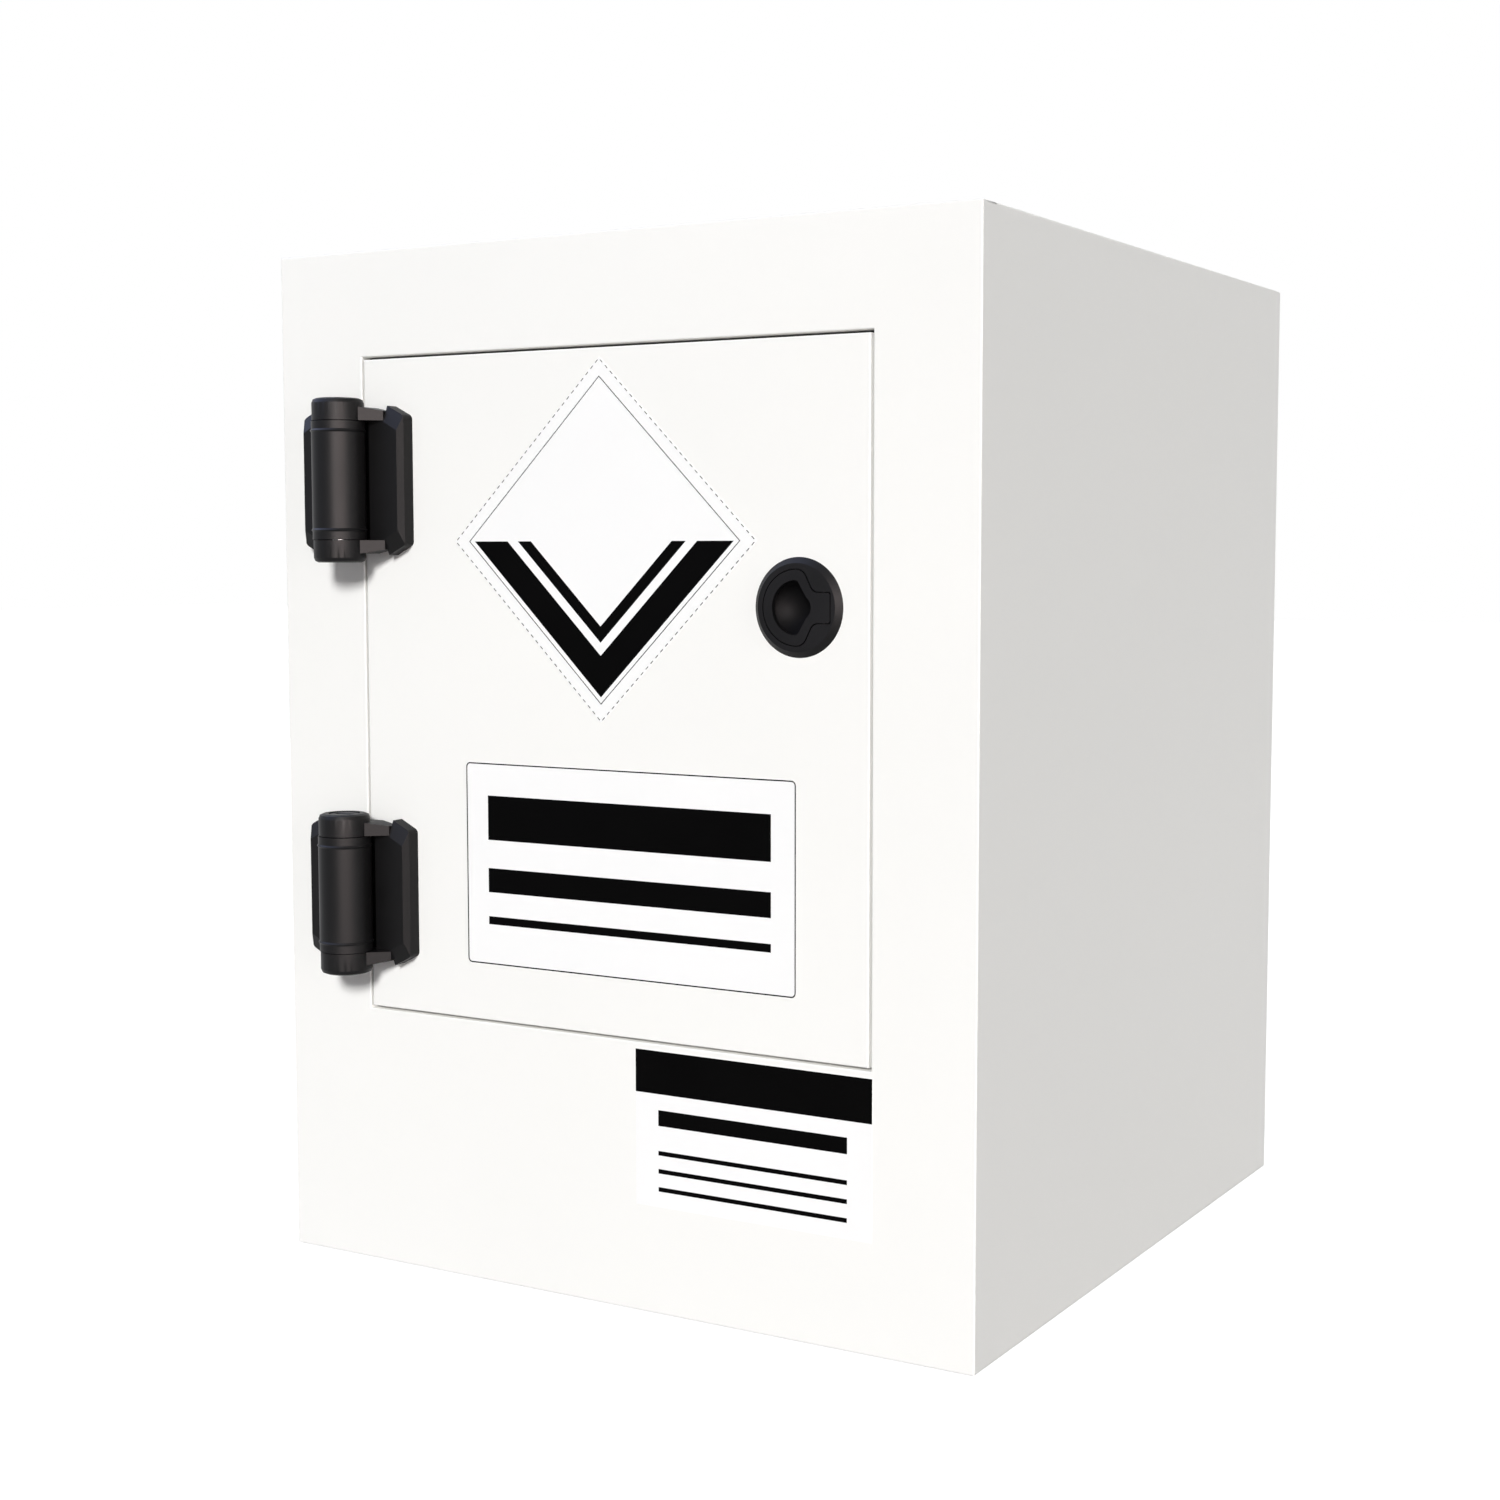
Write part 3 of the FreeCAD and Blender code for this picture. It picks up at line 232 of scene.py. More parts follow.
class CabinetStickers(bpy.types.PropertyGroup):
    """Sizes and places of the three stickers, measured from the cabinet's left edge and base."""
    vinyl_thick: FloatProperty(
        name="Vinyl", description="How far a sticker stands proud", unit="LENGTH", default=0.15 * MM,
    )
    ink_thick: FloatProperty(
        name="Ink", description="How far print stands proud of its sticker", unit="LENGTH", default=0.02 * MM,
    )
    diamond_across: FloatProperty(
        name="Diamond", description="Corner to corner", unit="LENGTH", default=188.0 * MM,
    )
    diamond_x: FloatProperty(
        name="Diamond x", description="Middle from the left edge", unit="LENGTH", default=214.2 * MM,
    )
    diamond_z: FloatProperty(
        name="Diamond z", description="Middle above the base", unit="LENGTH", default=402.6 * MM,
    )
    sign_low: FloatVectorProperty(
        name="Panel low", description="Lower left corner of the framed sticker", size=2, unit="LENGTH",
        default=(125.9 * MM, 175.3 * MM),
    )
    sign_high: FloatVectorProperty(
        name="Panel high", description="Upper right corner of the framed sticker", size=2, unit="LENGTH",
        default=(330.6 * MM, 284.3 * MM),
    )
    plate_low: FloatVectorProperty(
        name="Foot low", description="Lower left corner of the sticker under the door", size=2, unit="LENGTH",
        default=(234.6 * MM, 57.0 * MM),
    )
    plate_high: FloatVectorProperty(
        name="Foot high", description="Upper right corner of the sticker under the door",
        size=2, unit="LENGTH",
        default=(373.8 * MM, 139.5 * MM),
    )
    sunk: FloatProperty(
        name="Bedding", description="How far a back lies in what carries it", unit="LENGTH",
        default=0.02 * MM,
    )
    thin_line: FloatProperty(
        name="Thin line", description="Fine printed line", unit="LENGTH", default=0.45 * MM,
    )
    frame_line: FloatProperty(
        name="Frame line", description="Frame of the sign", unit="LENGTH", default=0.7 * MM,
    )
    dash_pitch: FloatProperty(
        name="Dash", description="Pitch of the trim line", unit="LENGTH", default=4.2 * MM,
    )
    sign_round: FloatProperty(
        name="Sign corner", description="Corner radius", unit="LENGTH", default=2.5 * MM,
    )
    header_tall: FloatProperty(
        name="Header", description="Height of the black band", unit="LENGTH", default=22.6 * MM,
    )


class CabinetSheets(bpy.types.PropertyGroup):
    """How far the sheets' edges are eased."""
    box_round: FloatProperty(
        name="Box edge", description="Outer edges of the box", unit="LENGTH", default=1.2 * MM,
    )
    door_round: FloatProperty(
        name="Door edge", description="Edges of the door and of its opening", unit="LENGTH", default=0.4 * MM,
    )


class CabinetMouldings(bpy.types.PropertyGroup):
    """How far the edges of the smaller pieces are eased."""
    hinge_round: FloatProperty(
        name="Hinge edge", description="Edges of the hinges", unit="LENGTH", default=0.8 * MM,
    )
    latch_round: FloatProperty(
        name="Latch edge", description="Edges of the latch", unit="LENGTH", default=0.3 * MM,
    )
    recess_start: FloatProperty(
        name="Recess", description="Depth past which the latch is duller", unit="LENGTH", default=3.2 * MM,
    )
    steel_round: FloatProperty(
        name="Steel edge", description="Edges of steel parts", unit="LENGTH", default=0.25 * MM,
    )
    inner_round: FloatProperty(
        name="Inner edge", description="Edges inside the box", unit="LENGTH", default=0.5 * MM,
    )
    seal_round: FloatProperty(
        name="Seal edge", description="Edges of the seal", unit="LENGTH", default=0.7 * MM,
    )
    # the seal's lip is black rubber that also darkens the gap round the door: painted shade where the gap's
    # own shade falls
    shade_lip_wide: FloatProperty(
        name="Lip", description="Width of the seal's lip", unit="LENGTH", default=0.9 * MM,
    )
    shade_lip_deep: FloatProperty(
        name="Lip depth", description="How far the lip reaches to the front", unit="LENGTH", default=5.3 * MM,
    )


class CabinetFasteners(bpy.types.PropertyGroup):
    """Sizes of the small screws."""
    leaf_spread: FloatProperty(
        name="Leaf screws", description="Between the two screws of a leaf", unit="LENGTH", default=40 * MM,
    )
    hex_flats: FloatProperty(name="Hexagon", description="Across the flats", unit="LENGTH", default=9.2 * MM)
    hex_thick: FloatProperty(
        name="Head", description="Thickness of that head", unit="LENGTH", default=3.4 * MM,
    )
    washer_radius: FloatProperty(
        name="Washer", description="Radius of a washer", unit="LENGTH", default=6.0 * MM,
    )
    washer_thick: FloatProperty(
        name="Washer thickness", description="Its height", unit="LENGTH", default=1.0 * MM,
    )
    pan_radius: FloatProperty(
        name="Pan head", description="Radius of a pan head", unit="LENGTH", default=2.9 * MM,
    )
    pan_thick: FloatProperty(
        name="Pan height", description="Height of a pan head", unit="LENGTH", default=1.6 * MM,
    )
    pan_ring: FloatProperty(
        name="Cover screws", description="From the cover's middle", unit="LENGTH", default=16.5 * MM,
    )
    sink_radius: FloatProperty(
        name="Sunk head", description="Radius of a countersunk head", unit="LENGTH", default=3.0 * MM,
    )
    sink_thick: FloatProperty(
        name="Sunk head height", description="How far that head stands proud", unit="LENGTH",
        default=0.3 * MM,
    )
    strike_spread: FloatProperty(
        name="Strike screws", description="Between the strike's screws", unit="LENGTH", default=28 * MM,
    )
    slot_wide: FloatProperty(
        name="Slot", description="Width of a driver slot", unit="LENGTH", default=0.8 * MM,
    )
    head_round: FloatProperty(
        name="Head edge", description="Edges of the heads", unit="LENGTH", default=0.2 * MM,
    )


class CabinetStudio(bpy.types.PropertyGroup):
    """Camera and light."""
    camera_place: FloatVectorProperty(
        name="Camera", description="Where the camera stands", subtype="XYZ", unit="LENGTH",
        default=(0.6701, -1.1916, 0.3963),
    )
    camera_yaw: FloatProperty(
        name="Yaw", description="Turn of the view to the left", unit="ROTATION", default=0.5270,
    )
    camera_pitch: FloatProperty(
        name="Pitch", description="Tilt of the view downwards", unit="ROTATION", default=0.0856,
    )
    focal_pixels: FloatProperty(
        name="Focal length", description="In pixels of the square frame", default=2274.52,
    )
    middle_x: FloatProperty(name="Middle x", description="Principal point from the left", default=777.05)
    middle_y: FloatProperty(name="Middle y", description="Principal point from the top", default=748.56)
    key_power: FloatProperty(name="Key", description="Strength of the soft sun", default=2.8)
    key_side: FloatProperty(
        name="Key side", description="Turn of the sun to the right of the door", unit="ROTATION",
        default=math.radians(22),
    )
    key_lift: FloatProperty(
        name="Key height", description="Height of the sun above level", unit="ROTATION",
        default=math.radians(23),
    )
    key_spread: FloatProperty(
        name="Key size", description="How broad the sun looks", unit="ROTATION", default=math.radians(12),
    )
    fill_watts: FloatProperty(name="Fill", description="Power of the soft lamp at the right", default=29.0)
    fill_span: FloatVectorProperty(
        name="Fill size", description="Width and height of that lamp", size=2, unit="LENGTH",
        default=(1.1, 1.8),
    )
    fill_aim: FloatVectorProperty(
        name="Fill place", description="Turn to the right, height above level and distance of that lamp",
        default=(math.radians(75), math.radians(3), 4.0),
    )
    fill_colour: FloatVectorProperty(
        name="Fill colour", description="Colour of that lamp", subtype="COLOR", default=(1.0, 1.0, 1.0),
    )
    rear_watts: FloatProperty(
        name="Rear", description="Power of the soft lamp behind at the left", default=75.0,
    )
    rear_span: FloatVectorProperty(
        name="Rear size", description="Width and height of that lamp", size=2, unit="LENGTH",
        default=(2.0, 2.0),
    )
    rear_aim: FloatVectorProperty(
        name="Rear place", description="Turn to the right, height above level and distance of that lamp",
        default=(math.radians(-135), math.radians(15), 3.5),
    )
    rear_colour: FloatVectorProperty(
        name="Rear colour", description="Colour of that lamp", subtype="COLOR", default=(1.0, 1.0, 1.0),
    )
    sheen_watts: FloatProperty(
        name="Sheen", description="Power of the lamp seen only in gloss", default=300.0,
    )
    sheen_span: FloatVectorProperty(
        name="Sheen size", description="Width and height of that lamp", size=2, unit="LENGTH",
        default=(3.0, 2.2),
    )
    sheen_colour: FloatVectorProperty(
        name="Sheen colour", description="Colour of that lamp", subtype="COLOR", default=(1.0, 0.85, 0.82),
    )
    sheen_aim: FloatVectorProperty(
        name="Sheen place", description="Turn to the right, height above level and distance of that lamp",
        default=(math.radians(38), math.radians(8), 3.0),
    )
    sky_watts: FloatProperty(
        name="Sky", description="Power of the bluish lamp seen only in gloss", default=95.0,
    )
    sky_span: FloatVectorProperty(
        name="Sky size", description="Width and height of that lamp", size=2, unit="LENGTH",
        default=(3.2, 2.6),
    )
    sky_aim: FloatVectorProperty(
        name="Sky place", description="Turn to the right, height above level and distance of that lamp",
        default=(math.radians(-60), math.radians(50), 2.6),
    )
    sky_colour: FloatVectorProperty(
        name="Sky colour", description="Colour of that lamp", subtype="COLOR", default=(0.45, 0.56, 1.0),
    )
    room_power: FloatProperty(name="Room", description="Strength of the even room light", default=0.13)
    floor_span: FloatProperty(name="Floor size", description="Half its width", unit="LENGTH", default=12.0)
    floor_drop: FloatProperty(
        name="Floor drop", description="How far it lies under the base", unit="LENGTH", default=0.2 * MM,
    )
    floor_grey: FloatProperty(name="Floor", description="Paleness of the floor", default=0.16)
    floor_lift: FloatProperty(name="Floor glow", description="White added to the floor in view", default=0.92)


def link(tree, source, target):
    """Joins two sockets of a node tree."""
    tree.links.new(source, target)


def any_of(tree, rays, kinds):
    """One where a ray is any of the named kinds."""
    total = rays.outputs[kinds[0]]
    for kind in kinds[1:]:
        larger = tree.nodes.new("ShaderNodeMath")
        larger.operation = "MAXIMUM"
        link(tree, total, larger.inputs[0])
        link(tree, rays.outputs[kind], larger.inputs[1])
        total = larger.outputs[0]
    return total


def group_output(tree, values):
    """Wires named results to a node group's output."""
    end = tree.nodes.new("NodeGroupOutput")
    for name, source in values.items():
        link(tree, source, end.inputs[name])


def grain_group():
    """Fine moulding grain and slow mottling over a surface, as a height and a mask."""
    tree = bpy.data.node_groups.new("surface_grain", "ShaderNodeTree")
    for name in ("Grain size", "Mottle size"):
        tree.interface.new_socket(name, in_out="INPUT", socket_type="NodeSocketFloat")
    for name in ("Height", "Mottle"):
        tree.interface.new_socket(name, in_out="OUTPUT", socket_type="NodeSocketFloat")
    start = tree.nodes.new("NodeGroupInput")
    place = tree.nodes.new("ShaderNodeTexCoord")
    results = {}
    noises = (("Height", "Grain size", GRAIN_DETAIL), ("Mottle", "Mottle size", MOTTLE_DETAIL))
    for output, size, detail in noises:
        frequency = tree.nodes.new("ShaderNodeMath")
        frequency.operation = "DIVIDE"
        frequency.inputs[0].default_value = 1.0
        link(tree, start.outputs[size], frequency.inputs[1])
        noise = tree.nodes.new("ShaderNodeTexNoise")
        noise.inputs["Detail"].default_value = detail
        link(tree, place.outputs["Object"], noise.inputs["Vector"])
        link(tree, frequency.outputs[0], noise.inputs["Scale"])
        results[output] = noise.outputs["Fac"]
    group_output(tree, results)
    return tree


def spread(tree, source, low, high):
    """Maps a noise mask onto a range of values."""
    node = tree.nodes.new("ShaderNodeMapRange")
    node.inputs["From Min"].default_value = NOISE_LOW
    node.inputs["From Max"].default_value = NOISE_HIGH
    node.inputs["To Min"].default_value = low
    node.inputs["To Max"].default_value = high
    link(tree, source, node.inputs["Value"])
    return node.outputs["Result"]


def stock_material(name, stock, colour, grain):
    """A finish with its own fine grain, a slow change of tone and a roughness that varies."""
    material = bpy.data.materials.new(name)
    material.use_nodes = True
    tree = material.node_tree
    shader = tree.nodes["Principled BSDF"]
    pattern = tree.nodes.new("ShaderNodeGroup")
    pattern.node_tree = grain
    pattern.inputs["Grain size"].default_value = stock.grain * MM
    pattern.inputs["Mottle size"].default_value = stock.mottle * MM
    tone = tree.nodes.new("ShaderNodeMix")
    tone.data_type = "RGBA"
    tone.inputs["A"].default_value = (*[part * (1 - stock.shade) for part in colour], 1)
    tone.inputs["B"].default_value = (*colour, 1)
    link(tree, spread(tree, pattern.outputs["Mottle"], 0, 1), tone.inputs["Factor"])
    link(tree, tone.outputs["Result"], shader.inputs["Base Color"])
    link(tree, spread(tree, pattern.outputs["Mottle"], *stock.roughness), shader.inputs["Roughness"])
    shader.inputs["Specular IOR Level"].default_value = stock.gloss
    shader.inputs["Metallic"].default_value = stock.metallic
    lift = tree.nodes.new("ShaderNodeBump")
    lift.inputs["Strength"].default_value = 1.0
    lift.inputs["Distance"].default_value = stock.bump * MM
    link(tree, pattern.outputs["Height"], lift.inputs["Height"])
    link(tree, lift.outputs["Normal"], shader.inputs["Normal"])


def dress(node, stock):
    """Gives a fixed node its finish."""
    materials = frame["nodes"][node].data.materials
    materials.clear()
    materials.append(bpy.data.materials[stock])


def new_piece(name, mesh, body, slot, *stocks):
    """An object from a finished bmesh, riding on a body of the frame, with its finishes."""
    data = bpy.data.meshes.new(name)
    mesh.to_mesh(data)
    mesh.free()
    for stock in stocks:
        data.materials.append(bpy.data.materials[stock])
    piece = bpy.data.objects.new(name, data)
    bpy.context.scene.collection.objects.link(piece)
    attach(piece, body)
    return piece


def merged_copy(node):
    """A node's solid as one closed mesh with its flat faces whole."""
    mesh = bmesh.new()
    mesh.from_mesh(frame["nodes"][node].data)
    bmesh.ops.remove_doubles(mesh, verts=mesh.verts, dist=MERGE_GAP)
    bmesh.ops.dissolve_limit(mesh, angle_limit=FLAT_ANGLE, verts=mesh.verts, edges=mesh.edges)
    return mesh


def home_of(node):
    """The body and the material slot of a fixed node."""
    bodies = frame["record"]["behaviour"]["bodies"]
    body = next(name for name, nodes in bodies.items() if node in nodes)
    slot = next(part["material_slot"] for part in frame["record"]["subparts"] if part["node"] == node)
    return body, slot


def round_edges(piece, width, limit):
    """Rounds the edges of a piece that are sharper than the limit."""
    rounding = piece.modifiers.new("rounded edges", "BEVEL")
    rounding.width = width
    rounding.segments = EDGE_STEPS
    rounding.limit_method = "ANGLE"
    rounding.angle_limit = limit
    return rounding


def eased_copy(node, width, stock, deep=None):
    """Replaces a node by a copy of it with rounded edges; faces deeper than deep get the recess finish."""
    mesh = merged_copy(node)
    stocks = [stock]
    if deep is not None:
        stocks.append("latch_recess")
        for face in mesh.faces:
            face.material_index = int(face.calc_center_median().y > deep)
    smooth_by_angle(mesh, HARD_ANGLE)
    piece = new_piece(f"{node}_eased", mesh, *home_of(node), *stocks)
    rounding = round_edges(piece, width, HARD_ANGLE)
    rounding.miter_outer = "MITER_ARC"
    rounding.harden_normals = True
    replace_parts(piece, node)


def smooth_by_angle(mesh, limit):
    """Smooth faces with a hard line where two meet at more than the limit."""
    for face in mesh.faces:
        face.smooth = True
    for edge in mesh.edges:
        edge.smooth = edge.is_manifold and edge.calc_face_angle(0) < limit


def ease(mesh, edges, width):
    """Rounds the given edges and shades the rounding smooth, while the faces beside it stay as they are."""
    rounding = bmesh.ops.bevel(
        mesh, geom=edges, offset=width, affect="EDGES", segments=SHEET_STEPS, profile=0.5, material=-1,
    )
    for face in rounding["faces"]:
        face.smooth = True


def on_planes(edge, planes):
    """How many of the planes, given as (axis, place), an edge lies in."""
    return sum(all(abs(vert.co[axis] - place) < PLANE_GAP for vert in edge.verts) for axis, place in planes)


def flat_shape(mesh, corners, y=0):
    """A flat face that looks out of the door, from its corners in x and z."""
    face = mesh.faces.new([mesh.verts.new((x, y, z)) for x, z in corners])
    face.normal_update()
    return face


def box_corners(low, high):
    """The corners of an upright rectangle, turning so that it looks out of the door."""
    return [(low[0], low[1]), (high[0], low[1]), (high[0], high[1]), (low[0], high[1])]


def diamond_corners(x, z, half):
    """The corners of a square that stands on its point."""
    return [(x - half, z), (x, z - half), (x + half, z), (x, z + half)]


def round_corners(mesh, face, radius):
    """Rounds the corners of a flat face."""
    bmesh.ops.bevel(
        mesh, geom=list(face.verts), offset=radius, affect="VERTICES", segments=CORNER_STEPS, profile=0.5,
        material=-1,
    )


def outline(mesh, face, width):
    """Leaves only a line of the given width along a flat face's edge."""
    bmesh.ops.inset_individual(mesh, faces=[face], thickness=width, use_even_offset=True)
    bmesh.ops.delete(mesh, geom=[face], context="FACES_ONLY")


def thicken(mesh, depth):
    """Pulls every flat face out of the door into a thin closed plate."""
    pulled = bmesh.ops.extrude_face_region(mesh, geom=mesh.faces[:])["geom"]
    corners = [item for item in pulled if isinstance(item, bmesh.types.BMVert)]
    bmesh.ops.translate(mesh, vec=(0, -depth, 0), verts=corners)
    bmesh.ops.recalc_face_normals(mesh, faces=mesh.faces)


class CABINET_OT_finishes(bpy.types.Operator):
    """Make every finish and give the fixed nodes theirs"""
    bl_idname = "cabinet.finishes"
    bl_label = "Finishes"

    def execute(self, context):
        look = context.scene.cabinet_finish
        grain = grain_group()
        for name, stock in STOCKS.items():
            stock_material(name, stock, getattr(look, stock.colour), grain)
        for stock, nodes in DRESSED.items():
            for node in nodes:
                dress(node, stock)
        return {"FINISHED"}


class CABINET_OT_sheets(bpy.types.Operator):
    """Ease the outer edges of the welded box and the edges of the door and its opening"""
    bl_idname = "cabinet.sheets"
    bl_label = "Sheets"

    def execute(self, context):
        sizes = context.scene.cabinet_sheets
        low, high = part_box("front_frame")
        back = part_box("back_panel")[1][1]
        outside = [(0, low[0]), (0, high[0]), (1, low[1]), (1, back), (2, low[2]), (2, high[2])]
        for node in (*SHELL_NODES, "door_panel"):
            mesh = merged_copy(node)
            for face in mesh.faces:
                face.smooth = False
            if node in SHELL_NODES:
                ease(mesh, [edge for edge in mesh.edges if on_planes(edge, outside) == 2], sizes.box_round)
            if node in ("front_frame", "door_panel"):
                ease(mesh, self.rim_edges(mesh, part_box(node)[0][1]), sizes.door_round)
            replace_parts(new_piece(f"{node}_eased", mesh, *home_of(node), "sheet"), node)
        return {"FINISHED"}

    def rim_edges(self, mesh, y):
        """Edges where a face in the plane y meets a wall that runs back from it."""
        return [
            edge for edge in mesh.edges
            if on_planes(edge, [(1, y)]) and edge.calc_face_angle(0) > WALL_ANGLE
        ]


class CABINET_OT_mouldings(bpy.types.Operator):
    """Ease the edges of the hinges, the latch, the seal, the steel parts and the pieces inside"""
    bl_idname = "cabinet.mouldings"
    bl_label = "Mouldings"

    def execute(self, context):
        sizes = context.scene.cabinet_mouldings
        groups = (
            (HINGE_NODES, sizes.hinge_round, "hinge_nylon"),
            (LATCH_BACK_NODES, sizes.latch_round, "latch_plastic"),
            (STEEL_NODES, sizes.steel_round, "steel"),
            (INNER_NODES, sizes.inner_round, "sheet"),
            (("door_seal",), sizes.seal_round, "seal"),
        )
        for nodes, width, stock in groups:
            for node in nodes:
                eased_copy(node, width, stock)
        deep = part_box("latch_housing")[0][1] + sizes.recess_start
        for node in LATCH_FRONT_NODES:
            eased_copy(node, sizes.latch_round, "latch_plastic", deep)
        self.press_shade_lip(sizes)
        self.wind_spring()
        return {"FINISHED"}

    def wind_spring(self):
        """The bolt's spring, copied from its node, shaded smooth and given a mesh of its own."""
        mesh = merged_copy("bolt_spring")
        smooth_by_angle(mesh, HARD_ANGLE)
        piece = new_piece("bolt_spring_coil", mesh, *home_of("bolt_spring"), "steel")
        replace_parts(piece, "bolt_spring")
        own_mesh(piece)

    def press_shade_lip(self, sizes):
        """The thin lip of the seal that stands in the gap round the door: black rubber that is also painted
        shade, darkening the gap where its own shade falls.
        """
        low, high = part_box("door_seal")
        mesh = bmesh.new()
        face = flat_shape(mesh, box_corners((low[0], low[2]), (high[0], high[2])), low[1])
        outline(mesh, face, sizes.shade_lip_wide)
        thicken(mesh, sizes.shade_lip_deep)
        # a dark rubber piece in the gap, which paints the gap's shade
        new_piece("door_seal_lip", mesh, "cabinet", "seal_rubber", "seal")


class CABINET_OT_fasteners(bpy.types.Operator):
    """Make the screws of the hinges' fixed leaves, of the latch's cover and of the strike plate"""
    bl_idname = "cabinet.fasteners"
    bl_label = "Fasteners"

    def execute(self, context):
        self.sizes = context.scene.cabinet_fasteners
        self.fix_leaves(self.sizes)
        self.fix_cover(self.sizes)
        self.fix_strike(self.sizes)
        return {"FINISHED"}

    def disc(self, mesh, radius, thick, sides=ROUND_SIDES):
        """A flat disc whose axis is Y; its near face lies at zero and it stands out to +Y."""
        lie = Matrix.Translation((0, thick / 2, 0)) @ Matrix.Rotation(math.pi / 2, 4, "X")
        made = bmesh.ops.create_cone(
            mesh, cap_ends=True, segments=sides, radius1=radius, radius2=radius, depth=thick, matrix=lie,
        )
        return made["verts"]

    def set_down(self, name, mesh, places, body, turn=None):
        """Copies one screw to each place and finishes them as one piece."""
        whole = bmesh.new()
        if turn is not None:
            bmesh.ops.transform(mesh, matrix=turn, verts=mesh.verts)
        single = bpy.data.meshes.new("single")
        mesh.to_mesh(single)
        mesh.free()
        for place in places:
            first = len(whole.verts)
            whole.from_mesh(single)
            whole.verts.ensure_lookup_table()
            bmesh.ops.translate(whole, vec=place, verts=whole.verts[first:])
        bpy.data.meshes.remove(single)
        bmesh.ops.recalc_face_normals(whole, faces=whole.faces)
        smooth_by_angle(whole, HEAD_HARD_ANGLE)
        piece = new_piece(name, whole, body, "stainless", "steel")
        round_edges(piece, self.sizes.head_round, HEAD_EASED_ANGLE)

    def fix_leaves(self, sizes):
        """Hexagon heads on washers behind the front sheet, two for each fixed leaf."""
        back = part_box("front_frame")[1][1]
        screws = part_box("hinge_upper_door_screws")
        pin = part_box("hinge_upper_pin")
        axis = (pin[0][0] + pin[1][0]) / 2
        x = 2 * axis - (screws[0][0] + screws[1][0]) / 2
        places = []
        for name in HINGES:
            low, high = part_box(f"hinge_{name}_body_leaf")
            middle = (low[2] + high[2]) / 2
            for side in (-1, 1):
                places.append((x, back, middle + side * sizes.leaf_spread / 2))
        mesh = bmesh.new()
        self.disc(mesh, sizes.washer_radius, sizes.washer_thick)
        corner = sizes.hex_flats / 2 / math.cos(math.pi / HEX_SIDES)
        head = self.disc(mesh, corner, sizes.hex_thick, HEX_SIDES)
        bmesh.ops.translate(mesh, vec=(0, sizes.washer_thick, 0), verts=head)
        self.set_down("body_leaf_screws", mesh, places, "cabinet")

    def fix_cover(self, sizes):
        """Slotted pan heads on the latch's cover, the first at the top."""
        low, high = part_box("latch_cover")
        middle = Vector(((low[0] + high[0]) / 2, high[1], (low[2] + high[2]) / 2))
        places = []
        for number in range(COVER_SCREWS):
            angle = math.pi / 2 + 2 * math.pi * number / COVER_SCREWS
            places.append(middle + Vector((math.cos(angle), 0, math.sin(angle))) * sizes.pan_ring)
        mesh = bmesh.new()
        self.disc(mesh, sizes.pan_radius, sizes.pan_thick)
        self.cut_slot(mesh, sizes.pan_thick, sizes.slot_wide)
        self.set_down("latch_cover_screws", mesh, places, "door")

    def cut_slot(self, mesh, thick, wide):
        """Sinks a driver slot to half the thickness across the outer face of a disc."""
        for x in (-wide / 2, wide / 2):
            whole = mesh.verts[:] + mesh.edges[:] + mesh.faces[:]
            bmesh.ops.bisect_plane(mesh, geom=whole, plane_co=(x, 0, 0), plane_no=(1, 0, 0))
        mesh.normal_update()
        floor = [
            face for face in mesh.faces
            if face.normal.y > BACKWARD and abs(face.calc_center_median().x) < wide / 2
        ]
        if not floor:
            raise RuntimeError("The head has no face to sink a slot into")
        walls = bmesh.ops.extrude_face_region(mesh, geom=floor)["geom"]
        sunk = [item for item in walls if isinstance(item, bmesh.types.BMVert)]
        bmesh.ops.translate(mesh, vec=(0, -thick / 2, 0), verts=sunk)

    def fix_strike(self, sizes):
        """Two plain countersunk heads, nearly flush with the strike plate."""
        low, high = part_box("strike_plate")
        middle = Vector((low[0], (low[1] + high[1]) / 2, (low[2] + high[2]) / 2))
        places = [middle + Vector((0, 0, side * sizes.strike_spread / 2)) for side in (-1, 1)]
        mesh = bmesh.new()
        self.disc(mesh, sizes.sink_radius, sizes.sink_thick)
        towards = Matrix.Rotation(math.pi / 2, 4, "Z")
        self.set_down("strike_screws", mesh, places, "cabinet", towards)


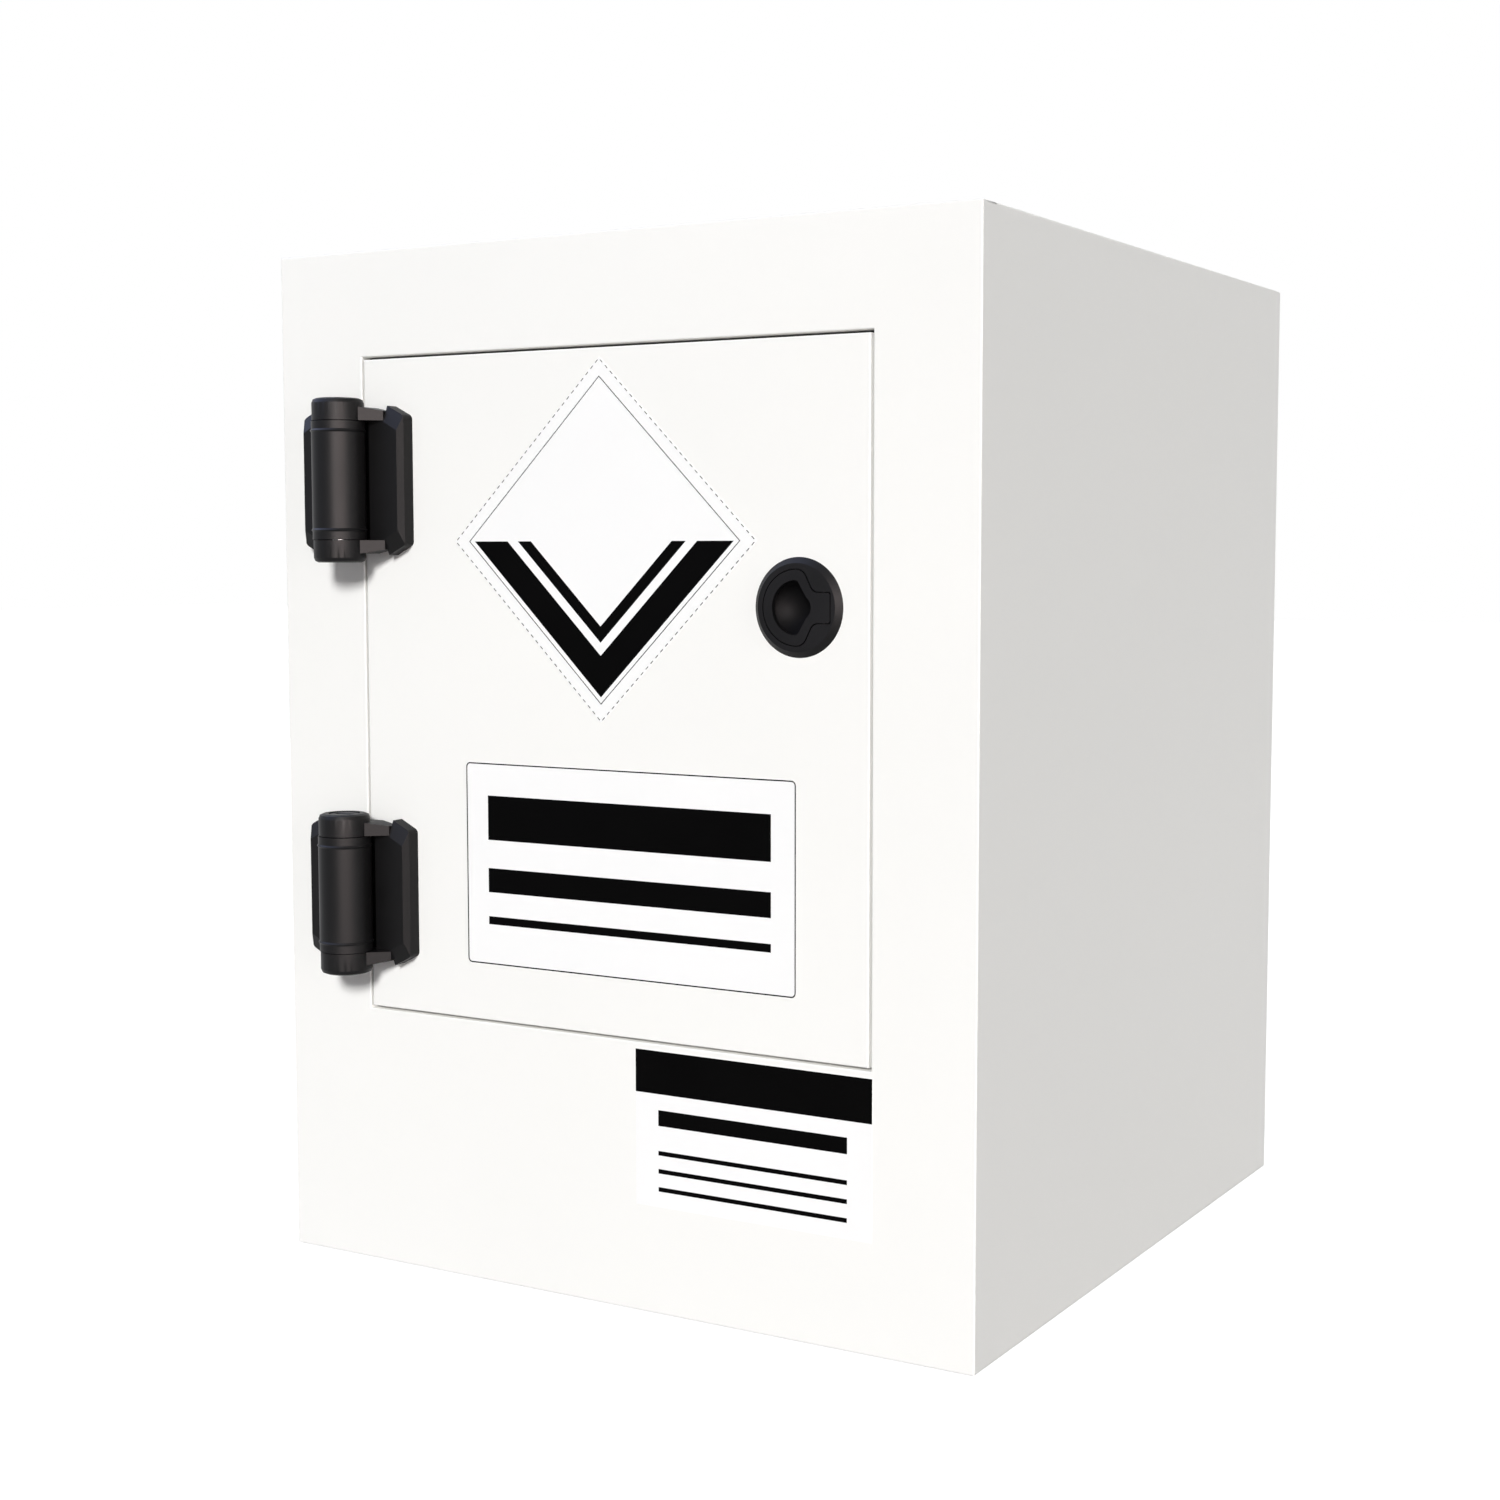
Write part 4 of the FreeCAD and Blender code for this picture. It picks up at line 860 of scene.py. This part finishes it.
class CABINET_OT_stickers(bpy.types.Operator):
    """Make the three blank stickers with their plain print"""
    bl_idname = "cabinet.stickers"
    bl_label = "Stickers"

    def execute(self, context):
        self.sizes = context.scene.cabinet_stickers
        self.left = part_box("front_frame")[0][0]
        self.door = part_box("door_panel")[0][1]
        self.make_diamond(self.sizes)
        self.make_sign(self.sizes)
        self.make_plate(self.sizes)
        return {"FINISHED"}

    def place(self, point):
        """A point measured from the left edge, in the frame's x and z."""
        return (self.left + point[0], point[1])

    def lay(self, mesh, wall, proud):
        """Makes a flat mesh a thin plate that is bedded in a wall and stands proud of it."""
        thicken(mesh, self.sizes.sunk + proud)
        bmesh.ops.translate(mesh, vec=(0, wall + self.sizes.sunk, 0), verts=mesh.verts)

    def lay_vinyl(self, name, mesh, body, wall):
        """Lays a sticker on a wall, given by its y."""
        self.lay(mesh, wall, self.sizes.vinyl_thick)
        new_piece(name, mesh, body, "pp_white", "vinyl")

    def lay_print(self, name, mesh, body, wall, stock="ink"):
        """Lays print on the sticker on that wall."""
        self.lay(mesh, wall - self.sizes.vinyl_thick, self.sizes.ink_thick)
        new_piece(name, mesh, body, "latch_black", stock)

    def make_diamond(self, sizes):
        """A square on its point: trim line, outline and two V bands in its lower half."""
        x, z = self.place((sizes.diamond_x, sizes.diamond_z))
        half = sizes.diamond_across / 2
        base = bmesh.new()
        flat_shape(base, diamond_corners(x, z, half))
        self.lay_vinyl("diamond_vinyl", base, "door", self.door)
        ink = bmesh.new()
        inner = half * INNER_SHARE
        outline(ink, flat_shape(ink, diamond_corners(x, z, inner)), sizes.thin_line)
        for outer_share, inner_share in V_SHARES:
            outer, inside = inner * outer_share, inner * inner_share
            flat_shape(ink, [(x - outer, z), (x, z - outer), (x, z - inside), (x - inside, z)])
            flat_shape(ink, [(x, z - inside), (x, z - outer), (x + outer, z), (x + inside, z)])
        bmesh.ops.remove_doubles(ink, verts=ink.verts, dist=MERGE_GAP)
        self.lay_print("diamond_print", ink, "door", self.door)
        trim = bmesh.new()
        corners = diamond_corners(x, z, half - sizes.thin_line * TRIM_INSET)
        for start, end in zip(corners, corners[1:] + corners[:1]):
            self.dash_side(trim, Vector(start), Vector(end), sizes)
        self.lay_print("diamond_trim_line", trim, "door", self.door, "trim_ink")

    def dash_side(self, mesh, start, end, sizes):
        """Dashes along one side of the trim line."""
        along = (end - start).normalized()
        across = Vector((along.y, -along.x)) * sizes.thin_line / 2
        count = round((end - start).length / sizes.dash_pitch)
        pitch = (end - start) / count
        for number in range(count):
            first = start + pitch * (number + DASH_START)
            last = first + pitch * DASH_LONG
            flat_shape(mesh, [first + across, last + across, last - across, first - across])

    def draw_rules(self, mesh, low, high, shares):
        """Plain rules across a field."""
        wide, tall = high[0] - low[0], high[1] - low[1]
        for from_share, to_share, long_share in shares:
            inset = wide * (1 - long_share) / 2
            foot = (low[0] + inset, low[1] + tall * from_share)
            head = (high[0] - inset, low[1] + tall * to_share)
            flat_shape(mesh, box_corners(foot, head))

    def make_sign(self, sizes):
        """A rounded rectangle with a thin frame and three plain rules."""
        low, high = self.place(sizes.sign_low), self.place(sizes.sign_high)
        base = bmesh.new()
        round_corners(base, flat_shape(base, box_corners(low, high)), sizes.sign_round)
        self.lay_vinyl("sign_vinyl", base, "door", self.door)
        ink = bmesh.new()
        round_corners(ink, flat_shape(ink, box_corners(low, high)), sizes.sign_round)
        outline(ink, ink.faces[:][0], sizes.frame_line)
        self.draw_rules(ink, low, high, SIGN_RULE_SHARES)
        self.lay_print("sign_print", ink, "door", self.door)

    def make_plate(self, sizes):
        """The label under the door: a black head and a few plain rules."""
        low, high = self.place(sizes.plate_low), self.place(sizes.plate_high)
        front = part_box("front_frame")[0][1]
        base = bmesh.new()
        flat_shape(base, box_corners(low, high))
        self.lay_vinyl("foot_label_vinyl", base, "cabinet", front)
        ink = bmesh.new()
        under = high[1] - sizes.header_tall
        flat_shape(ink, box_corners((low[0], under), high))
        self.draw_rules(ink, low, (high[0], under), PLATE_RULE_SHARES)
        self.lay_print("foot_label_print", ink, "cabinet", front)


class CABINET_OT_studio(bpy.types.Operator):
    """Set the camera, the floor and the light"""
    bl_idname = "cabinet.studio"
    bl_label = "Studio"

    def execute(self, context):
        scene = context.scene
        studio = scene.cabinet_studio
        self.place_camera(scene, studio)
        self.light_room(scene, studio)
        self.hang_sun(scene, studio)
        for name in LAMPS:
            self.stand_lamp(scene, studio, name)
        self.lay_floor(scene, studio)
        scene.view_settings.view_transform = "Standard"
        return {"FINISHED"}

    def place_camera(self, scene, studio):
        """The photograph's view, with its own principal point."""
        lens = bpy.data.cameras.new("camera")
        lens.sensor_width = SENSOR_MM
        lens.lens = studio.focal_pixels * lens.sensor_width / PHOTO_SIDE
        lens.shift_x = (PHOTO_SIDE / 2 - studio.middle_x) / PHOTO_SIDE
        lens.shift_y = (studio.middle_y - PHOTO_SIDE / 2) / PHOTO_SIDE
        lens.clip_start = NEAREST
        camera = bpy.data.objects.new("camera", lens)
        scene.collection.objects.link(camera)
        camera.location = studio.camera_place
        camera.rotation_euler = (math.pi / 2 - studio.camera_pitch, 0, studio.camera_yaw)
        scene.camera = camera

    def light_room(self, scene, studio):
        """Even light from all round; the camera and the gloss see plain white."""
        world = bpy.data.worlds.new("room")
        scene.world = world
        world.use_nodes = True
        tree = world.node_tree
        shade = tree.nodes["Background"]
        shade.inputs["Color"].default_value = (1, 1, 1, 1)
        shade.inputs["Strength"].default_value = studio.room_power
        white = tree.nodes.new("ShaderNodeBackground")
        white.inputs["Color"].default_value = (1, 1, 1, 1)
        rays = tree.nodes.new("ShaderNodeLightPath")
        choose = tree.nodes.new("ShaderNodeMixShader")
        link(tree, any_of(tree, rays, WHITE_RAYS), choose.inputs["Fac"])
        link(tree, shade.outputs[0], choose.inputs[1])
        link(tree, white.outputs[0], choose.inputs[2])
        link(tree, choose.outputs[0], tree.nodes["World Output"].inputs["Surface"])

    def hang_sun(self, scene, studio):
        """One broad soft sun from above, in front and a little to the right."""
        lamp = bpy.data.lights.new("key", "SUN")
        lamp.energy = studio.key_power
        lamp.angle = studio.key_spread
        sun = bpy.data.objects.new("key", lamp)
        scene.collection.objects.link(sun)
        level = math.cos(studio.key_lift)
        towards = Vector((
            -level * math.sin(studio.key_side),
            level * math.cos(studio.key_side),
            -math.sin(studio.key_lift),
        ))
        sun.rotation_euler = towards.to_track_quat("-Z", "Y").to_euler()

    def stand_lamp(self, scene, studio, name):
        """A flat lamp that faces the cabinet's middle from a turn, a height and a distance."""
        lamp = bpy.data.lights.new(name, "AREA")
        lamp.shape = "RECTANGLE"
        lamp.size, lamp.size_y = getattr(studio, f"{name}_span")
        lamp.energy = getattr(studio, f"{name}_watts")
        lamp.color = getattr(studio, f"{name}_colour")
        stand = bpy.data.objects.new(name, lamp)
        scene.collection.objects.link(stand)
        side, lift, away = getattr(studio, f"{name}_aim")
        towards = Vector((math.cos(lift) * math.sin(side), -math.cos(lift) * math.cos(side), math.sin(lift)))
        stand.location = (Vector(CAD_BOX[0]) + Vector(CAD_BOX[1])) / 2 + towards * away
        stand.rotation_euler = (-towards).to_track_quat("-Z", "Y").to_euler()
        stand.visible_camera = False
        stand.visible_diffuse = name in DIFFUSE_LAMPS
        stand.visible_glossy = name in GLOSS_LAMPS

    def lay_floor(self, scene, studio):
        """A wide floor whose added white hides it in view, while it keeps the cabinet's shadow."""
        mesh = bmesh.new()
        bmesh.ops.create_grid(mesh, x_segments=1, y_segments=1, size=studio.floor_span)
        data = bpy.data.meshes.new("floor")
        mesh.to_mesh(data)
        mesh.free()
        floor = bpy.data.objects.new("floor", data)
        floor.location.z = -studio.floor_drop
        scene.collection.objects.link(floor)
        material = bpy.data.materials.new("floor")
        material.use_nodes = True
        tree = material.node_tree
        shader = tree.nodes["Principled BSDF"]
        shader.inputs["Base Color"].default_value = (*[studio.floor_grey] * 3, 1)
        shader.inputs["Roughness"].default_value = FLOOR_ROUGHNESS
        glow = tree.nodes.new("ShaderNodeEmission")
        rays = tree.nodes.new("ShaderNodeLightPath")
        seen = tree.nodes.new("ShaderNodeMath")
        seen.operation = "MULTIPLY"
        seen.inputs[1].default_value = studio.floor_lift
        link(tree, any_of(tree, rays, WHITE_RAYS), seen.inputs[0])
        link(tree, seen.outputs[0], glow.inputs["Strength"])
        both = tree.nodes.new("ShaderNodeAddShader")
        link(tree, shader.outputs[0], both.inputs[0])
        link(tree, glow.outputs[0], both.inputs[1])
        link(tree, both.outputs[0], tree.nodes["Material Output"].inputs["Surface"])
        data.materials.append(material)


class CABINET_PT_sidebar(bpy.types.Panel):
    """A button for each of the cabinet's makers"""
    bl_label = "Cabinet"
    bl_idname = "CABINET_PT_sidebar"
    bl_space_type = "VIEW_3D"
    bl_region_type = "UI"
    bl_category = "Cabinet"

    def draw(self, context):
        for operator in OPERATORS:
            self.layout.operator(operator.bl_idname)


OPERATORS = (
    CABINET_OT_finishes, CABINET_OT_sheets, CABINET_OT_mouldings, CABINET_OT_fasteners,
    CABINET_OT_stickers, CABINET_OT_studio,
)
GROUPS = {
    "cabinet_finish": CabinetFinish,
    "cabinet_sheets": CabinetSheets,
    "cabinet_mouldings": CabinetMouldings,
    "cabinet_fasteners": CabinetFasteners,
    "cabinet_stickers": CabinetStickers,
    "cabinet_studio": CabinetStudio,
}
CLASSES = (*GROUPS.values(), *OPERATORS, CABINET_PT_sidebar)


def register():
    for kind in CLASSES:
        bpy.utils.register_class(kind)
    for name, group in GROUPS.items():
        setattr(bpy.types.Scene, name, PointerProperty(type=group))


def unregister():
    for name in GROUPS:
        delattr(bpy.types.Scene, name)
    for kind in reversed(CLASSES):
        bpy.utils.unregister_class(kind)


def main():
    """Registers the add-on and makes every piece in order."""
    register()
    bpy.ops.cabinet.finishes()
    bpy.ops.cabinet.sheets()
    bpy.ops.cabinet.mouldings()
    bpy.ops.cabinet.fasteners()
    bpy.ops.cabinet.stickers()
    bpy.ops.cabinet.studio()


if __name__ == "__main__":
    main()
